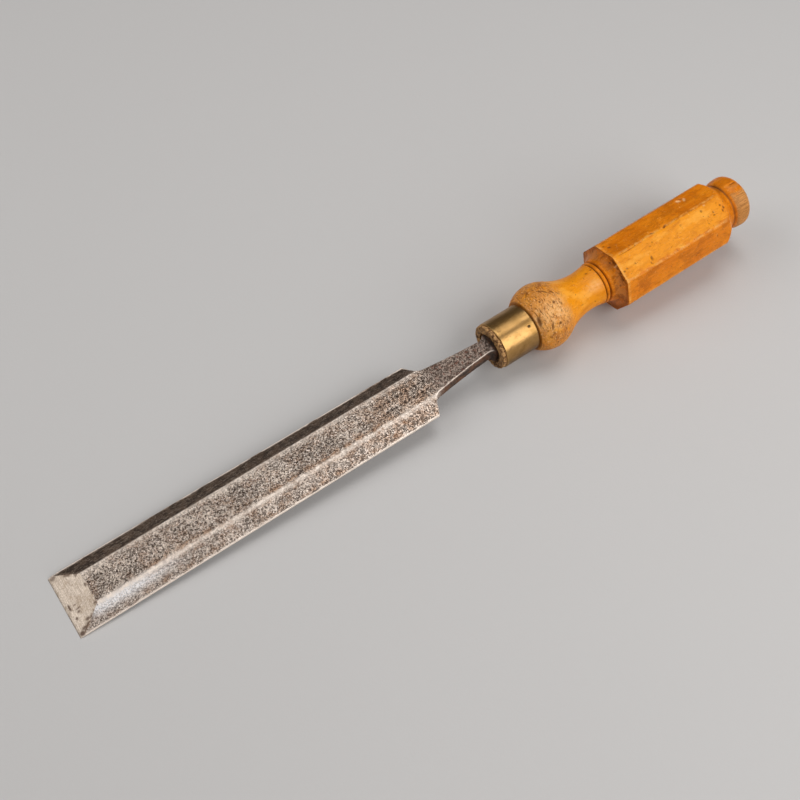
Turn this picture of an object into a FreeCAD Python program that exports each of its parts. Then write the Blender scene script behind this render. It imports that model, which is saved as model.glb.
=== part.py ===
"""Bench chisel, one and a quarter inch, with a tang and a boxwood handle.

Three separate pieces: the forged blade (blade, neck, bolster and tang), the brass
ferrule, and the turned handle with its octagonal grip.  Everything is drawn first in
the tool's own frame: X runs along the handle's axis from the cutting edge to the butt,
Y to the left, Z away from the blade's flat back.  The finished pieces are then laid
down as the tool rests on a bench, on its cutting edge and on the bulb of the handle.
"""
import FreeCAD, Part
import math
import os
from FreeCAD import Vector

OUT_DIR = "parts"
os.makedirs(OUT_DIR, exist_ok=True)

# ---- blade ---------------------------------------------------------------------
EDGE_WIDTH = 31.75            # width at the cutting edge, one and a quarter inch
SHOULDER_WIDTH = 30.8         # the blade tapers slightly towards its shoulders
BLADE_LENGTH = 180.3          # cutting edge to the corners of the shoulders
BACK_DEPTH = 2.78             # flat back below the handle's axis
THICK_AT_BEVEL = 4.6          # blade thickness where the ground end bevel starts
THICK_AT_SHOULDER = 5.5
BEVEL_LENGTH = 12.8           # cutting edge to the top of the end bevel, along the back
HONED_LENGTH = 1.1            # the narrow honed bevel along the edge itself
HONED_ANGLE = 27.0            # degrees
LAND_AT_EDGE = 0.9            # upright side lands below the long side bevels
LAND_AT_SHOULDER = 1.26
TOP_WIDTH_AT_BEVEL = 15.8     # flat top between the two side bevels
TOP_WIDTH_AT_SHOULDER = 16.3
BLADE_YAW = 0.34              # degrees that the forging leans left of the handle's axis
BLADE_PITCH = 0.15            # degrees that it leans up towards the edge

# ---- shoulders, neck and bolster -------------------------------------------------
SHOULDER_FOOT_X = 183.0       # end of the straight part of each shoulder
SHOULDER_FOOT_HALF = 9.1
NECK_START_X = 187.2          # end of the small curve from shoulder to neck
NECK_START_HALF = 6.9
NECK_MIDDLE_X = 200.5
NECK_MIDDLE_HALF = 5.15
NECK_END_X = 214.6            # narrowest place, just before the bolster
NECK_END_HALF = 3.9
NECK_END_TOP = 3.95           # above the axis
NECK_END_BOTTOM = 2.45        # below the axis
BOLSTER_RIM_X = 218.9         # front of the bolster's upright rim
BOLSTER_HALF = 5.3            # half of the square bolster's side
BOLSTER_CORNER_R = 6.8        # its corners are dressed to this radius
SHOULDER_CURL = (0.45, 0.375)  # how far the small curve bows inward from a straight line, x and y
BOLSTER_FLARE = (0.55, 0.65)   # the same for the flare from neck to bolster, seen from above
BOLSTER_SWEEP = (0.6, 0.6)     # and seen from the side, x and z
TANG_ROOT_HALF = 3.6
TANG_TIP_HALF = 1.4
TANG_LENGTH = 76.0

# ---- ferrule -------------------------------------------------------------------------
FERRULE_FRONT_X = 221.4
FERRULE_LENGTH = 19.0
FERRULE_R = 11.57
FERRULE_WALL = 0.95
FERRULE_FRONT_ROUND = 0.45
FERRULE_REAR_CHAMFER = 0.2
PUNCH_FROM_REAR = 3.2         # centre of the punch mark that keys the ferrule to the wood
PUNCH_ANGLE = 123.0           # degrees from +Y towards +Z
PUNCH_R = 0.6
PUNCH_DEPTH = 0.55

# ---- handle -----------------------------------------------------------------------------
END_GRAIN_X = 219.6           # the wood stands proud of the ferrule by this much less its front
END_GRAIN_R = 11.15           # and is mushroomed to nearly the ferrule's radius
SEAT_R = 7.4                  # shallow hollow that the bolster sits in
SEAT_DEPTH = 1.0
BULB_CENTRE_X = 250.2
BULB_R = 16.41
BULB_ARC_R = 14.8
WAIST_CENTRE_X = 274.5
WAIST_R = 9.72
BEAD_FRONT_X = 281.65         # two cut lines with a bead between them
BEAD_REAR_X = 283.95
CUT_HALF_WIDTH = 0.42
CUT_DEPTH = 0.55
COVE_FOOT_X = 284.55          # a turned cove rises from the bead to the octagon's front face
COVE_FOOT_R = 11.1
COVE_MIDDLE_X = 287.9
COVE_MIDDLE_R = 13.0
COVE_TOP_R = 16.4
OCTAGON_FRONT_X = 289.1
OCTAGON_FLATS = 32.5          # across the flats
OCTAGON_ROLL = -14.5          # degrees that the flats are turned from the blade, +Y to +Z
OCTAGON_OFF_Y = -0.76         # the flats are planed a little off the turning's centre
OCTAGON_OFF_Z = -0.25
BLANK_R = 18.5                # the turned blank that the flats are planed on
REAR_CURVE_X = 352.2          # where the back of the blank starts to be turned over
REAR_CURVE_MIDDLE_X = 356.3
REAR_CURVE_MIDDLE_R = 15.6
BUTT_NECK_X = 359.5           # narrow neck between the octagon and the button
BUTT_NECK_R = 12.5
BUTTON_FRONT_X = 362.2
BUTTON_FRONT_R = 11.65
BUTTON_WIDEST_X = 367.8
BUTTON_R = 13.1
BUTT_X = 374.7
DOME_R = 28.0                 # the shallow dome of the butt
DOME_EDGE_R = 10.6
WAIST_ARC_R = 32.0
BEAD_HEIGHT = 0.25            # crown of the bead above its edges
BEAD_STEP = 0.05              # the bead stands this much above the end of the waist
END_GRAIN_CHAMFER = 0.4
BUTTON_SWELL = 0.35           # how far the button's front bows out from a straight line
BUTT_TURN_OVER = (0.95, 0.6)  # and its rear edge, in x and in radius
OCTAGON_SIDES = 8

# ---- worked out, and how far cutting bodies reach past what they cut ------------------------
BACK_Z = -BACK_DEPTH
SEAT_X = END_GRAIN_X + SEAT_DEPTH
FERRULE_REAR_X = FERRULE_FRONT_X + FERRULE_LENGTH
SPIGOT_R = FERRULE_R - FERRULE_WALL
EXTRA = 30.0
SPARE = 1.0
BEVEL_CUT_RUN = 60.0
TANG_OVERLAP = 0.5            # the tang starts this far inside the bolster
SEAM = 0.01                   # length of the small step from blade side to shoulder corner


def polygon(points):
    """A closed straight-sided wire."""
    return Part.makePolygon(points + [points[0]])


def arc(start, middle, end):
    return Part.Arc(start, middle, end).toShape()


def line(start, end):
    return Part.LineSegment(start, end).toShape()


def turned(edges):
    """A solid of revolution about X from the edges of half a lengthwise section."""
    face = Part.Face(Part.Wire(edges))
    return face.revolve(Vector(0, 0, 0), Vector(1, 0, 0), 360)


# ---- the forged blade ------------------------------------------------------------------

def along_top(x):
    """0 where the end bevel meets the flat top, 1 at the shoulders."""
    return (x - BEVEL_LENGTH) / (BLADE_LENGTH - BEVEL_LENGTH)


def blade_top(x):
    """Height of the blade's flat top above the handle's axis."""
    return BACK_Z + THICK_AT_BEVEL + (THICK_AT_SHOULDER - THICK_AT_BEVEL) * along_top(x)


def blade_section(x):
    """The bevel-edged section at x: side lands, long bevels, flat top, and spare depth below the back."""
    s = x / BLADE_LENGTH
    t = along_top(x)
    half = (EDGE_WIDTH + (SHOULDER_WIDTH - EDGE_WIDTH) * s) / 2
    land = BACK_Z + LAND_AT_EDGE + (LAND_AT_SHOULDER - LAND_AT_EDGE) * s
    top = blade_top(x)
    top_half = (TOP_WIDTH_AT_BEVEL + (TOP_WIDTH_AT_SHOULDER - TOP_WIDTH_AT_BEVEL) * t) / 2
    return polygon([Vector(x, -half, BACK_Z - SPARE), Vector(x, half, BACK_Z - SPARE),
                    Vector(x, half, land), Vector(x, top_half, top),
                    Vector(x, -top_half, top), Vector(x, -half, land)])


def wedge_above(foot, angle):
    """A cutting body above a plane that rises from foot at the given angle."""
    slope = math.tan(math.radians(angle))
    start = Vector(foot.x - EXTRA, -EXTRA, foot.z - EXTRA * slope)
    end = Vector(foot.x + BEVEL_CUT_RUN, -EXTRA, foot.z + BEVEL_CUT_RUN * slope)
    side = [start, end, Vector(end.x, -EXTRA, end.z + EXTRA), Vector(start.x, -EXTRA, end.z + EXTRA)]
    return Part.Face(polygon(side)).extrude(Vector(0, 2 * EXTRA, 0))


def plan_side(sign):
    """One side of the forging's outline seen from above, from blade to bolster."""
    corner = Vector(BLADE_LENGTH, sign * SHOULDER_WIDTH / 2, 0)
    foot = Vector(SHOULDER_FOOT_X, sign * SHOULDER_FOOT_HALF, 0)
    start = Vector(NECK_START_X, sign * NECK_START_HALF, 0)
    middle = Vector(NECK_MIDDLE_X, sign * NECK_MIDDLE_HALF, 0)
    end = Vector(NECK_END_X, sign * NECK_END_HALF, 0)
    rim = Vector(BOLSTER_RIM_X, sign * BOLSTER_HALF, 0)
    curl = (foot + start) / 2 - Vector(SHOULDER_CURL[0], sign * SHOULDER_CURL[1], 0)
    flare = (end + rim) / 2 + Vector(BOLSTER_FLARE[0], -sign * BOLSTER_FLARE[1], 0)
    return [line(corner, foot), arc(foot, curl, start), arc(start, middle, end), arc(end, flare, rim),
            line(rim, Vector(BOLSTER_RIM_X + EXTRA, rim.y, 0))]


def plan_body():
    """The forging's outline seen from above, as an upright prism."""
    tip_half = EDGE_WIDTH / 2 + SPARE
    edges = [line(Vector(-SPARE, -tip_half, 0), Vector(-SPARE, tip_half, 0))]
    tails = []
    for sign in (1, -1):
        wide = Vector(BLADE_LENGTH - SEAM, sign * tip_half, 0)
        side = plan_side(sign)
        edges += [line(Vector(-SPARE, sign * tip_half, 0), wide),
                  line(wide, Vector(BLADE_LENGTH, sign * SHOULDER_WIDTH / 2, 0))]
        edges += side
        tails.append(side[-1].lastVertex().Point)
    edges.append(line(tails[0], tails[1]))
    wire = Part.Wire(Part.__sortEdges__(edges))
    return Part.Face(wire).extrude(Vector(0, 0, 2 * EXTRA)).translated(Vector(0, 0, -EXTRA))


def side_curve(start, end_z):
    """Top or bottom line of the neck and bolster seen from the side."""
    up = math.copysign(1, end_z)
    end = Vector(NECK_END_X, 0, end_z)
    rim = Vector(BOLSTER_RIM_X, 0, up * BOLSTER_HALF)
    flare = (end + rim) / 2 + Vector(BOLSTER_SWEEP[0], 0, -up * BOLSTER_SWEEP[1])
    return [line(start, end), arc(end, flare, rim)]


def neck_and_bolster():
    """Neck and square bolster: the side view, to be cut to the outline seen from above."""
    front_top = Vector(NECK_START_X, 0, blade_top(NECK_START_X))
    front_bottom = Vector(NECK_START_X, 0, BACK_Z)
    top = side_curve(front_top, NECK_END_TOP)
    bottom = side_curve(front_bottom, -NECK_END_BOTTOM)
    front = line(front_bottom, front_top)
    rim_top = Vector(BOLSTER_RIM_X, 0, BOLSTER_HALF)
    rim_bottom = Vector(BOLSTER_RIM_X, 0, -BOLSTER_HALF)
    rear_top = Vector(SEAT_X, 0, BOLSTER_HALF)
    rear_bottom = Vector(SEAT_X, 0, -BOLSTER_HALF)
    edges = top + bottom + [front, line(rim_top, rear_top), line(rear_top, rear_bottom),
                            line(rear_bottom, rim_bottom)]
    wire = Part.Wire(Part.__sortEdges__(edges))
    slab = Part.Face(wire).extrude(Vector(0, 2 * EXTRA, 0)).translated(Vector(0, -EXTRA, 0))
    front_x = BLADE_LENGTH - EXTRA
    dressed = Part.makeCylinder(BOLSTER_CORNER_R, EXTRA + SEAT_X, Vector(NECK_END_X, 0, 0), Vector(1, 0, 0))
    ahead = Part.makeBox(NECK_END_X - front_x, 2 * EXTRA, 2 * EXTRA, Vector(front_x, -EXTRA, -EXTRA))
    return slab.common(dressed.fuse(ahead))


def square(x, half):
    return polygon([Vector(x, -half, -half), Vector(x, half, -half),
                    Vector(x, half, half), Vector(x, -half, half)])


def lean(shape):
    """Turned with the forging, which doesn't lie quite true to the handle's axis."""
    pivot = Vector(SEAT_X, 0, 0)
    leaning = shape.copy()
    leaning.rotate(pivot, Vector(0, 0, 1), -BLADE_YAW)
    leaning.rotate(pivot, Vector(0, 1, 0), BLADE_PITCH)
    return leaning


def tang():
    """Tapered square tang from the bolster's rear face into the handle."""
    wires = [square(SEAT_X - TANG_OVERLAP, TANG_ROOT_HALF), square(SEAT_X + TANG_LENGTH, TANG_TIP_HALF)]
    return Part.makeLoft(wires, True, True)


def forging():
    """Blade, neck, bolster and tang in one piece."""
    long_blade = Part.makeLoft([blade_section(-SPARE), blade_section(NECK_START_X + SPARE)], True, True)
    above_back = Part.makeBox(NECK_START_X + EXTRA, 2 * EXTRA, EXTRA, Vector(-EXTRA / 2, -EXTRA, BACK_Z))
    long_blade = long_blade.common(above_back)
    neck = neck_and_bolster()
    body = long_blade.fuse(neck).common(plan_body())
    honed_foot = Vector(0, 0, BACK_Z)
    honed_rise = HONED_LENGTH * math.tan(math.radians(HONED_ANGLE))
    ground_foot = Vector(HONED_LENGTH, 0, BACK_Z + honed_rise)
    ground_angle = math.degrees(math.atan2(THICK_AT_BEVEL - honed_rise, BEVEL_LENGTH - HONED_LENGTH))
    body = body.cut(wedge_above(honed_foot, HONED_ANGLE))
    body = body.cut(wedge_above(ground_foot, ground_angle))
    return lean(body.fuse(tang()).removeSplitter())


# ---- the ferrule -------------------------------------------------------------------------

def punch_mark():
    """The conical dent near the ferrule's rear edge."""
    angle = math.radians(PUNCH_ANGLE)
    outward = Vector(0, math.cos(angle), math.sin(angle))
    point = Vector(FERRULE_REAR_X - PUNCH_FROM_REAR, 0, 0) + outward * (FERRULE_R - PUNCH_DEPTH)
    return Part.makeCone(0.0, 2 * PUNCH_R, 2 * PUNCH_DEPTH, point, outward)


def ferrule():
    """Brass tube, rounded at its front rim and keyed by the punch mark."""
    rounding = FERRULE_FRONT_ROUND
    bite = rounding * (1 - math.sqrt(0.5))
    front_inner = Vector(FERRULE_FRONT_X, SPIGOT_R, 0)
    front_rim = Vector(FERRULE_FRONT_X, FERRULE_R - rounding, 0)
    bend = Vector(FERRULE_FRONT_X + bite, FERRULE_R - bite, 0)
    front_shoulder = Vector(FERRULE_FRONT_X + rounding, FERRULE_R, 0)
    rear_shoulder = Vector(FERRULE_REAR_X - FERRULE_REAR_CHAMFER, FERRULE_R, 0)
    rear_rim = Vector(FERRULE_REAR_X, FERRULE_R - FERRULE_REAR_CHAMFER, 0)
    rear_inner = Vector(FERRULE_REAR_X, SPIGOT_R, 0)
    edges = [line(front_inner, front_rim),
             arc(front_rim, bend, front_shoulder),
             line(front_shoulder, rear_shoulder),
             line(rear_shoulder, rear_rim),
             line(rear_rim, rear_inner),
             line(rear_inner, front_inner)]
    return turned(edges).cut(punch_mark())


# ---- the handle -----------------------------------------------------------------------------

def waist_profile(x):
    """Radius of the long hollow curve between the bulb and the bead."""
    return WAIST_R + WAIST_ARC_R - math.sqrt(WAIST_ARC_R ** 2 - (x - WAIST_CENTRE_X) ** 2)


def bulb_profile(x):
    return BULB_R - BULB_ARC_R + math.sqrt(BULB_ARC_R ** 2 - (x - BULB_CENTRE_X) ** 2)


def on_profile(profile, x):
    return Vector(x, profile(x), 0)


def bulb_meets_waist():
    """Where the bulb's arc runs into the waist's arc."""
    run = WAIST_CENTRE_X - BULB_CENTRE_X
    rise = WAIST_R + WAIST_ARC_R - (BULB_R - BULB_ARC_R)
    return BULB_CENTRE_X + BULB_ARC_R * run / math.hypot(run, rise)


def dome_point(radius):
    """A point of the butt's dome at this distance from the axis."""
    return Vector(BUTT_X - DOME_R + math.sqrt(DOME_R ** 2 - radius ** 2), radius, 0)


def bead_edges(start, radius):
    """Two V cuts with a low bead between them, ending at the foot of the cove."""
    front_root = Vector(BEAD_FRONT_X, radius - CUT_DEPTH, 0)
    rear_root = Vector(BEAD_REAR_X, radius - CUT_DEPTH, 0)
    bead_start = Vector(BEAD_FRONT_X + CUT_HALF_WIDTH, radius, 0)
    bead_crown = Vector((BEAD_FRONT_X + BEAD_REAR_X) / 2, radius + BEAD_HEIGHT, 0)
    bead_end = Vector(BEAD_REAR_X - CUT_HALF_WIDTH, radius, 0)
    foot = Vector(COVE_FOOT_X, COVE_FOOT_R, 0)
    return [line(start, front_root), line(front_root, bead_start), arc(bead_start, bead_crown, bead_end),
            line(bead_end, rear_root), line(rear_root, foot)], foot


def handle_profile():
    """Half of the handle's lengthwise section, as turned before the flats are planed."""
    join_x = bulb_meets_waist()
    cut_start = on_profile(waist_profile, BEAD_FRONT_X - CUT_HALF_WIDTH)
    bead, foot = bead_edges(cut_start, cut_start.y + BEAD_STEP)
    blank_front = Vector(OCTAGON_FRONT_X, BLANK_R, 0)
    blank_rear = Vector(REAR_CURVE_X, BLANK_R, 0)
    neck = Vector(BUTT_NECK_X, BUTT_NECK_R, 0)
    neck_end = Vector(BUTTON_FRONT_X, BUTTON_FRONT_R, 0)
    widest = Vector(BUTTON_WIDEST_X, BUTTON_R, 0)
    swell = (neck_end + widest) / 2 + Vector(0, BUTTON_SWELL, 0)
    dome_edge = dome_point(DOME_EDGE_R)
    turn_over = (widest + dome_edge) / 2 + Vector(BUTT_TURN_OVER[0], BUTT_TURN_OVER[1], 0)
    front = [Vector(END_GRAIN_X, 0, 0),
             Vector(END_GRAIN_X, END_GRAIN_R - END_GRAIN_CHAMFER, 0),
             Vector(END_GRAIN_X + END_GRAIN_CHAMFER, END_GRAIN_R, 0),
             Vector(FERRULE_FRONT_X, END_GRAIN_R, 0),
             Vector(FERRULE_FRONT_X, SPIGOT_R, 0),
             Vector(FERRULE_REAR_X, SPIGOT_R, 0),
             on_profile(bulb_profile, FERRULE_REAR_X)]
    edges = [line(p, q) for p, q in zip(front, front[1:])]
    edges += [arc(front[-1], on_profile(bulb_profile, BULB_CENTRE_X), on_profile(bulb_profile, join_x)),
              arc(on_profile(bulb_profile, join_x), on_profile(waist_profile, WAIST_CENTRE_X), cut_start)]
    edges += bead
    cove_top = Vector(OCTAGON_FRONT_X, COVE_TOP_R, 0)
    edges += [arc(foot, Vector(COVE_MIDDLE_X, COVE_MIDDLE_R, 0), cove_top),
              line(cove_top, blank_front),
              line(blank_front, blank_rear),
              arc(blank_rear, Vector(REAR_CURVE_MIDDLE_X, REAR_CURVE_MIDDLE_R, 0), neck),
              line(neck, neck_end),
              arc(neck_end, swell, widest),
              arc(widest, turn_over, dome_edge),
              arc(dome_edge, dome_point(DOME_EDGE_R / 2), dome_point(0)),
              line(Vector(BUTT_X, 0, 0), front[0])]
    return edges


def octagon_prism(start_x, end_x):
    """The octagonal bar that the grip is planed to."""
    half_side = math.pi / OCTAGON_SIDES
    corner_r = OCTAGON_FLATS / 2 / math.cos(half_side)
    corners = []
    for k in range(OCTAGON_SIDES):
        angle = (2 * k + 1) * half_side + math.radians(OCTAGON_ROLL)
        corners.append(Vector(start_x, OCTAGON_OFF_Y + corner_r * math.cos(angle),
                              OCTAGON_OFF_Z + corner_r * math.sin(angle)))
    return Part.Face(polygon(corners)).extrude(Vector(end_x - start_x, 0, 0))


def handle():
    """Boxwood handle, bored for the tang and hollowed where the bolster sits."""
    round_handle = turned(handle_profile())
    box_size = 2 * EXTRA
    front_part = Part.makeBox(COVE_FOOT_X, box_size, box_size, Vector(0, -EXTRA, -EXTRA))
    planed = round_handle.common(front_part.fuse(octagon_prism(COVE_FOOT_X, BUTT_X + SPARE)))
    seat = Part.makeCylinder(SEAT_R, SEAT_DEPTH + SPARE, Vector(END_GRAIN_X - SPARE, 0, 0), Vector(1, 0, 0))
    return planed.cut(lean(seat)).cut(lean(tang())).removeSplitter()


# ---- laying the finished tool down ------------------------------------------------------

def rest_tilt(edge):
    """Degrees between the handle's axis and a bench that touches the edge and the bulb."""
    run = BULB_CENTRE_X - edge.x
    rise = -(BULB_R - BULB_ARC_R) - edge.z
    return math.degrees(math.asin(BULB_ARC_R / math.hypot(run, rise)) - math.atan2(rise, run))


def lowest_point_of_edge(shape):
    """The point of the cutting edge that lies furthest from the bolster."""
    return min((v.Point for v in shape.Vertexes), key=lambda p: p.x)


def main():
    blade = forging()
    pieces = {"blade": blade, "ferrule": ferrule(), "handle": handle()}
    tilt = rest_tilt(lowest_point_of_edge(blade))
    for shape in pieces.values():
        shape.rotate(Vector(0, 0, 0), Vector(0, 1, 0), -tilt)
    box = FreeCAD.BoundBox()
    for shape in pieces.values():
        box.add(shape.optimalBoundingBox(False, False))
    shift = Vector(-(box.XMin + box.XMax) / 2, -(box.YMin + box.YMax) / 2, -box.ZMin)
    for name, shape in pieces.items():
        shape.translate(shift)
        shape.exportStep(os.path.join(OUT_DIR, name + ".step"))
        print(name, "solids", len(shape.Solids), "valid", shape.isValid(), "volume", round(shape.Volume, 1))
    print("tilt", round(tilt, 4), "shift", [round(c, 4) for c in shift])
    print("size", round(box.XLength, 2), round(box.YLength, 2), round(box.ZLength, 2))


main()
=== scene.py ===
"""An old bench chisel: pitted steel blade, worn brass ferrule, boxwood handle with a planed octagonal grip.

The three pieces are skins over rings of points that are worked out in the tool's own frame:
millimetres, X along the handle's axis from the cutting edge to the butt, Y to the left, Z away
from the blade's flat back.  to_row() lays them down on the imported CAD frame.  Wear, dents and
punch marks move the points; the same masks are kept on the mesh for the materials to use.
"""
import math
import bpy
import numpy as np
from mathutils import Matrix, Vector, noise


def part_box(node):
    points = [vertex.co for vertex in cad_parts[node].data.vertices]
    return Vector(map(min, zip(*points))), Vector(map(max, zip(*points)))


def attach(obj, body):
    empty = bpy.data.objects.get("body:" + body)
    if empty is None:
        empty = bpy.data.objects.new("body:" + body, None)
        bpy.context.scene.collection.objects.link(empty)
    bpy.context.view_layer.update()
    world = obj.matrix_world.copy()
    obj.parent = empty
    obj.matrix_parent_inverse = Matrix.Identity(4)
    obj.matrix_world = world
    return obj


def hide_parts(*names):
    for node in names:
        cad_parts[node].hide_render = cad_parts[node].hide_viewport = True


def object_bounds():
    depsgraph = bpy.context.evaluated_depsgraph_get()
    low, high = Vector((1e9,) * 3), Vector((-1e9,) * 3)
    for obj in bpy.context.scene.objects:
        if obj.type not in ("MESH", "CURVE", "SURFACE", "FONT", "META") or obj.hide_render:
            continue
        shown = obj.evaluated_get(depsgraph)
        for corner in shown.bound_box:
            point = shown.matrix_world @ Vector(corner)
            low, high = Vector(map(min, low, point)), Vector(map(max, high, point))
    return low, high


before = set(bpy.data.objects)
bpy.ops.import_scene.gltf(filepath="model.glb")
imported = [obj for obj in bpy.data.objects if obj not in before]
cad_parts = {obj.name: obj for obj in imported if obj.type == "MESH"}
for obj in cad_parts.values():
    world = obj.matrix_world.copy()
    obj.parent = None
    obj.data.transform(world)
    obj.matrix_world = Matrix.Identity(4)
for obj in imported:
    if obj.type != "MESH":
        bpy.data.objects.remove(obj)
cad_low, cad_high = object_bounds()

# ---- the tool on its bench -------------------------------
TILT = math.radians(3.2543)  # the handle's axis to the bench
FERRULE_X = 230.9  # middle of the ferrule, from the cutting edge
FORGING_YAW = math.radians(0.34)  # the forging leans a little off the axis
FORGING_PITCH = math.radians(0.15)
SEAT_X = 220.6  # where the bolster stands in the handle
MM = 0.001

ferrule_low, ferrule_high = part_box("ferrule")
FERRULE_MIDDLE = (np.array(ferrule_low) + np.array(ferrule_high)) / 2


def to_row(points):
    """Points of the tool's frame in mm as points of the row frame in metres."""
    x, y, z = (points[..., 0] - FERRULE_X), points[..., 1], points[..., 2]
    along = x * math.cos(TILT) - z * math.sin(TILT)
    up = x * math.sin(TILT) + z * math.cos(TILT)
    return np.stack([along, y, up], axis=-1) * MM + FERRULE_MIDDLE


def lean(points):
    """Turned about the seat with the forging."""
    x, y, z = points[..., 0] - SEAT_X, points[..., 1], points[..., 2]
    x, y = (x * math.cos(FORGING_YAW) + y * math.sin(FORGING_YAW),
            y * math.cos(FORGING_YAW) - x * math.sin(FORGING_YAW))
    x, z = (x * math.cos(FORGING_PITCH) + z * math.sin(FORGING_PITCH),
            z * math.cos(FORGING_PITCH) - x * math.sin(FORGING_PITCH))
    return np.stack([x + SEAT_X, y, z], axis=-1)


# ---- tools for shapes ------------------------------------
SEED_SPACING = 17.3  # how far apart the noise of two seeds is taken


def arc_points(start, middle, end, count):
    """count points along the arc through three (x, r) points; start is included, end isn't."""
    (ax, ay), (bx, by), (cx, cy) = start, middle, end
    d = 2 * (ax * (by - cy) + bx * (cy - ay) + cx * (ay - by))
    ux = ((ax * ax + ay * ay) * (by - cy) + (bx * bx + by * by) * (cy - ay)
          + (cx * cx + cy * cy) * (ay - by)) / d
    uy = ((ax * ax + ay * ay) * (cx - bx) + (bx * bx + by * by) * (ax - cx)
          + (cx * cx + cy * cy) * (bx - ax)) / d
    radius = math.hypot(ax - ux, ay - uy)
    first = math.atan2(ay - uy, ax - ux)
    sweep_b = (math.atan2(by - uy, bx - ux) - first) % math.tau
    sweep_c = (math.atan2(cy - uy, cx - ux) - first) % math.tau
    if sweep_b > sweep_c:
        sweep_c -= math.tau
    turns = [first + sweep_c * i / count for i in range(count)]
    return [(ux + radius * math.cos(t), uy + radius * math.sin(t)) for t in turns]


def line_points(start, end, count):
    """count points along a line; start is included, end isn't."""
    return [(start[0] + (end[0] - start[0]) * i / count,
             start[1] + (end[1] - start[1]) * i / count) for i in range(count)]


def between(start, end, t):
    """The value at t on the way from start, at 0, to end, at 1."""
    return start + (end - start) * t


def bowed(start, end, dx, dy):
    """The middle of a line between two points, moved by dx and dy: a gentle arc's middle point."""
    return (start[0] + end[0]) / 2 + dx, (start[1] + end[1]) / 2 + dy


def smooth_min(a, b, k):
    """The lower of two heights, with the corner between them rounded over k."""
    h = np.clip(0.5 + 0.5 * (b - a) / k, 0, 1)
    return b + (a - b) * h - k * h * (1 - h)


def step(low, high, x):
    """0 below low, 1 above high, smooth between."""
    t = np.clip((x - low) / (high - low), 0, 1)
    return t * t * (3 - 2 * t)


def plateau(x, start, full, fading, gone):
    """0 before start and after gone, 1 between full and fading."""
    return step(start, full, x) * (1 - step(fading, gone, x))


def hump(x, middle, spread):
    """1 at the middle, falling away smoothly to both sides."""
    return np.exp(-((x - middle) / spread) ** 2)


def turned_from(turn, middle):
    """Angle from the middle direction to turn, from -pi to pi."""
    return np.angle(np.exp(1j * (turn - middle)))


def cloud(points, size, seed, octaves=3):
    """Fractal noise, about -1 to 1, with blobs of about this size in mm along each axis."""
    places = (points / np.array(size, float) + seed * SEED_SPACING).reshape(-1, 3)
    values = [noise.fractal(Vector(p), 0.9, 2.1, octaves) for p in places]
    return np.array(values).reshape(points.shape[:-1])


def grid_normals(rings):
    """Outward normals of a closed skin of rings."""
    around = np.roll(rings, -1, axis=1) - np.roll(rings, 1, axis=1)
    along = np.gradient(rings, axis=0)
    normal = np.cross(around, along)
    return normal / np.maximum(np.linalg.norm(normal, axis=-1, keepdims=True), 1e-9)


def skin(name, rings, masks, loop=False):
    """A mesh object over rings [ring, point, xyz]; masks are kept as point attributes.

    The two ends are closed by a point each, unless the rings run round in a loop."""
    count, around = rings.shape[:2]
    vertices = to_row(rings).reshape(-1, 3)
    i = np.arange(count if loop else count - 1)[:, None] * around
    j = np.arange(around)[None, :]
    k = (j + 1) % around
    following = (i + around) % (count * around)
    quads = np.stack([i + j, i + k, following + k, following + j], axis=-1).reshape(-1, 4)
    faces = quads.tolist()
    own = rings.reshape(-1, 3)
    values = {key: mask.reshape(-1) for key, mask in masks.items()}
    if not loop:
        ends = to_row(np.stack([rings[0].mean(axis=0), rings[-1].mean(axis=0)]))
        first, last = len(vertices), len(vertices) + 1
        vertices = np.concatenate([vertices, ends])
        own = np.concatenate([own, rings[:1].mean(axis=1), rings[-1:].mean(axis=1)])
        values = {key: np.concatenate([v, [masks[key][0].mean(), masks[key][-1].mean()]])
                  for key, v in values.items()}
        tail = (count - 1) * around
        faces += [(first, (n + 1) % around, n) for n in range(around)]
        faces += [(last, tail + n, tail + (n + 1) % around) for n in range(around)]
    mesh = bpy.data.meshes.new(name)
    mesh.from_pydata(vertices.tolist(), [], faces)
    mesh.polygons.foreach_set("use_smooth", np.ones(len(faces), dtype=bool))
    for key, value in values.items():
        mesh.attributes.new(key, "FLOAT", "POINT").data.foreach_set("value", value.astype(np.float32))
    place = mesh.attributes.new("own", "FLOAT_VECTOR", "POINT")
    place.data.foreach_set("vector", own.astype(np.float32).ravel())
    mesh.update()
    piece = bpy.data.objects.new(name, mesh)
    bpy.context.scene.collection.objects.link(piece)
    return piece


# ---- the blade -------------------------------------------
EDGE_HALF = 15.875  # half of the width at the cutting edge
SHOULDER_HALF = 15.4  # and at the shoulders
BLADE_LENGTH = 180.3
BACK_Z = -2.78  # the flat back
TOP_AT_BEVEL_Z = 1.82  # the flat top, where the end bevel starts
TOP_AT_SHOULDER_Z = 2.72
BEVEL_LENGTH = 12.8  # the ground end bevel, in the middle of the blade
BEVEL_LENGTH_AT_SIDE = 2.0  # and at the blade's sides, where the side bevels cut it short
HONED_LENGTH = 1.1
HONED_SLOPE = math.tan(math.radians(27))
GROUND_SLOPE = (TOP_AT_BEVEL_Z - BACK_Z - HONED_LENGTH * HONED_SLOPE) / (BEVEL_LENGTH - HONED_LENGTH)
EDGE_THICKNESS = 0.03
LAND_AT_EDGE, LAND_AT_SHOULDER = 0.9, 1.26
TOP_HALF_AT_BEVEL, TOP_HALF_AT_SHOULDER = 7.9, 8.15
RIDGE_Y = TOP_HALF_AT_BEVEL + 0.1  # where wear follows the two ridges beside the flat top
RIDGE_WEAR_RIGHT, RIDGE_WEAR_LEFT = 0.42, 0.16  # how far the ridges are rounded over
FRESH_RIDGE = 0.45  # share of that wear near the end bevel
SHOULDER_FOOT = (183.0, 9.1)
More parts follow.
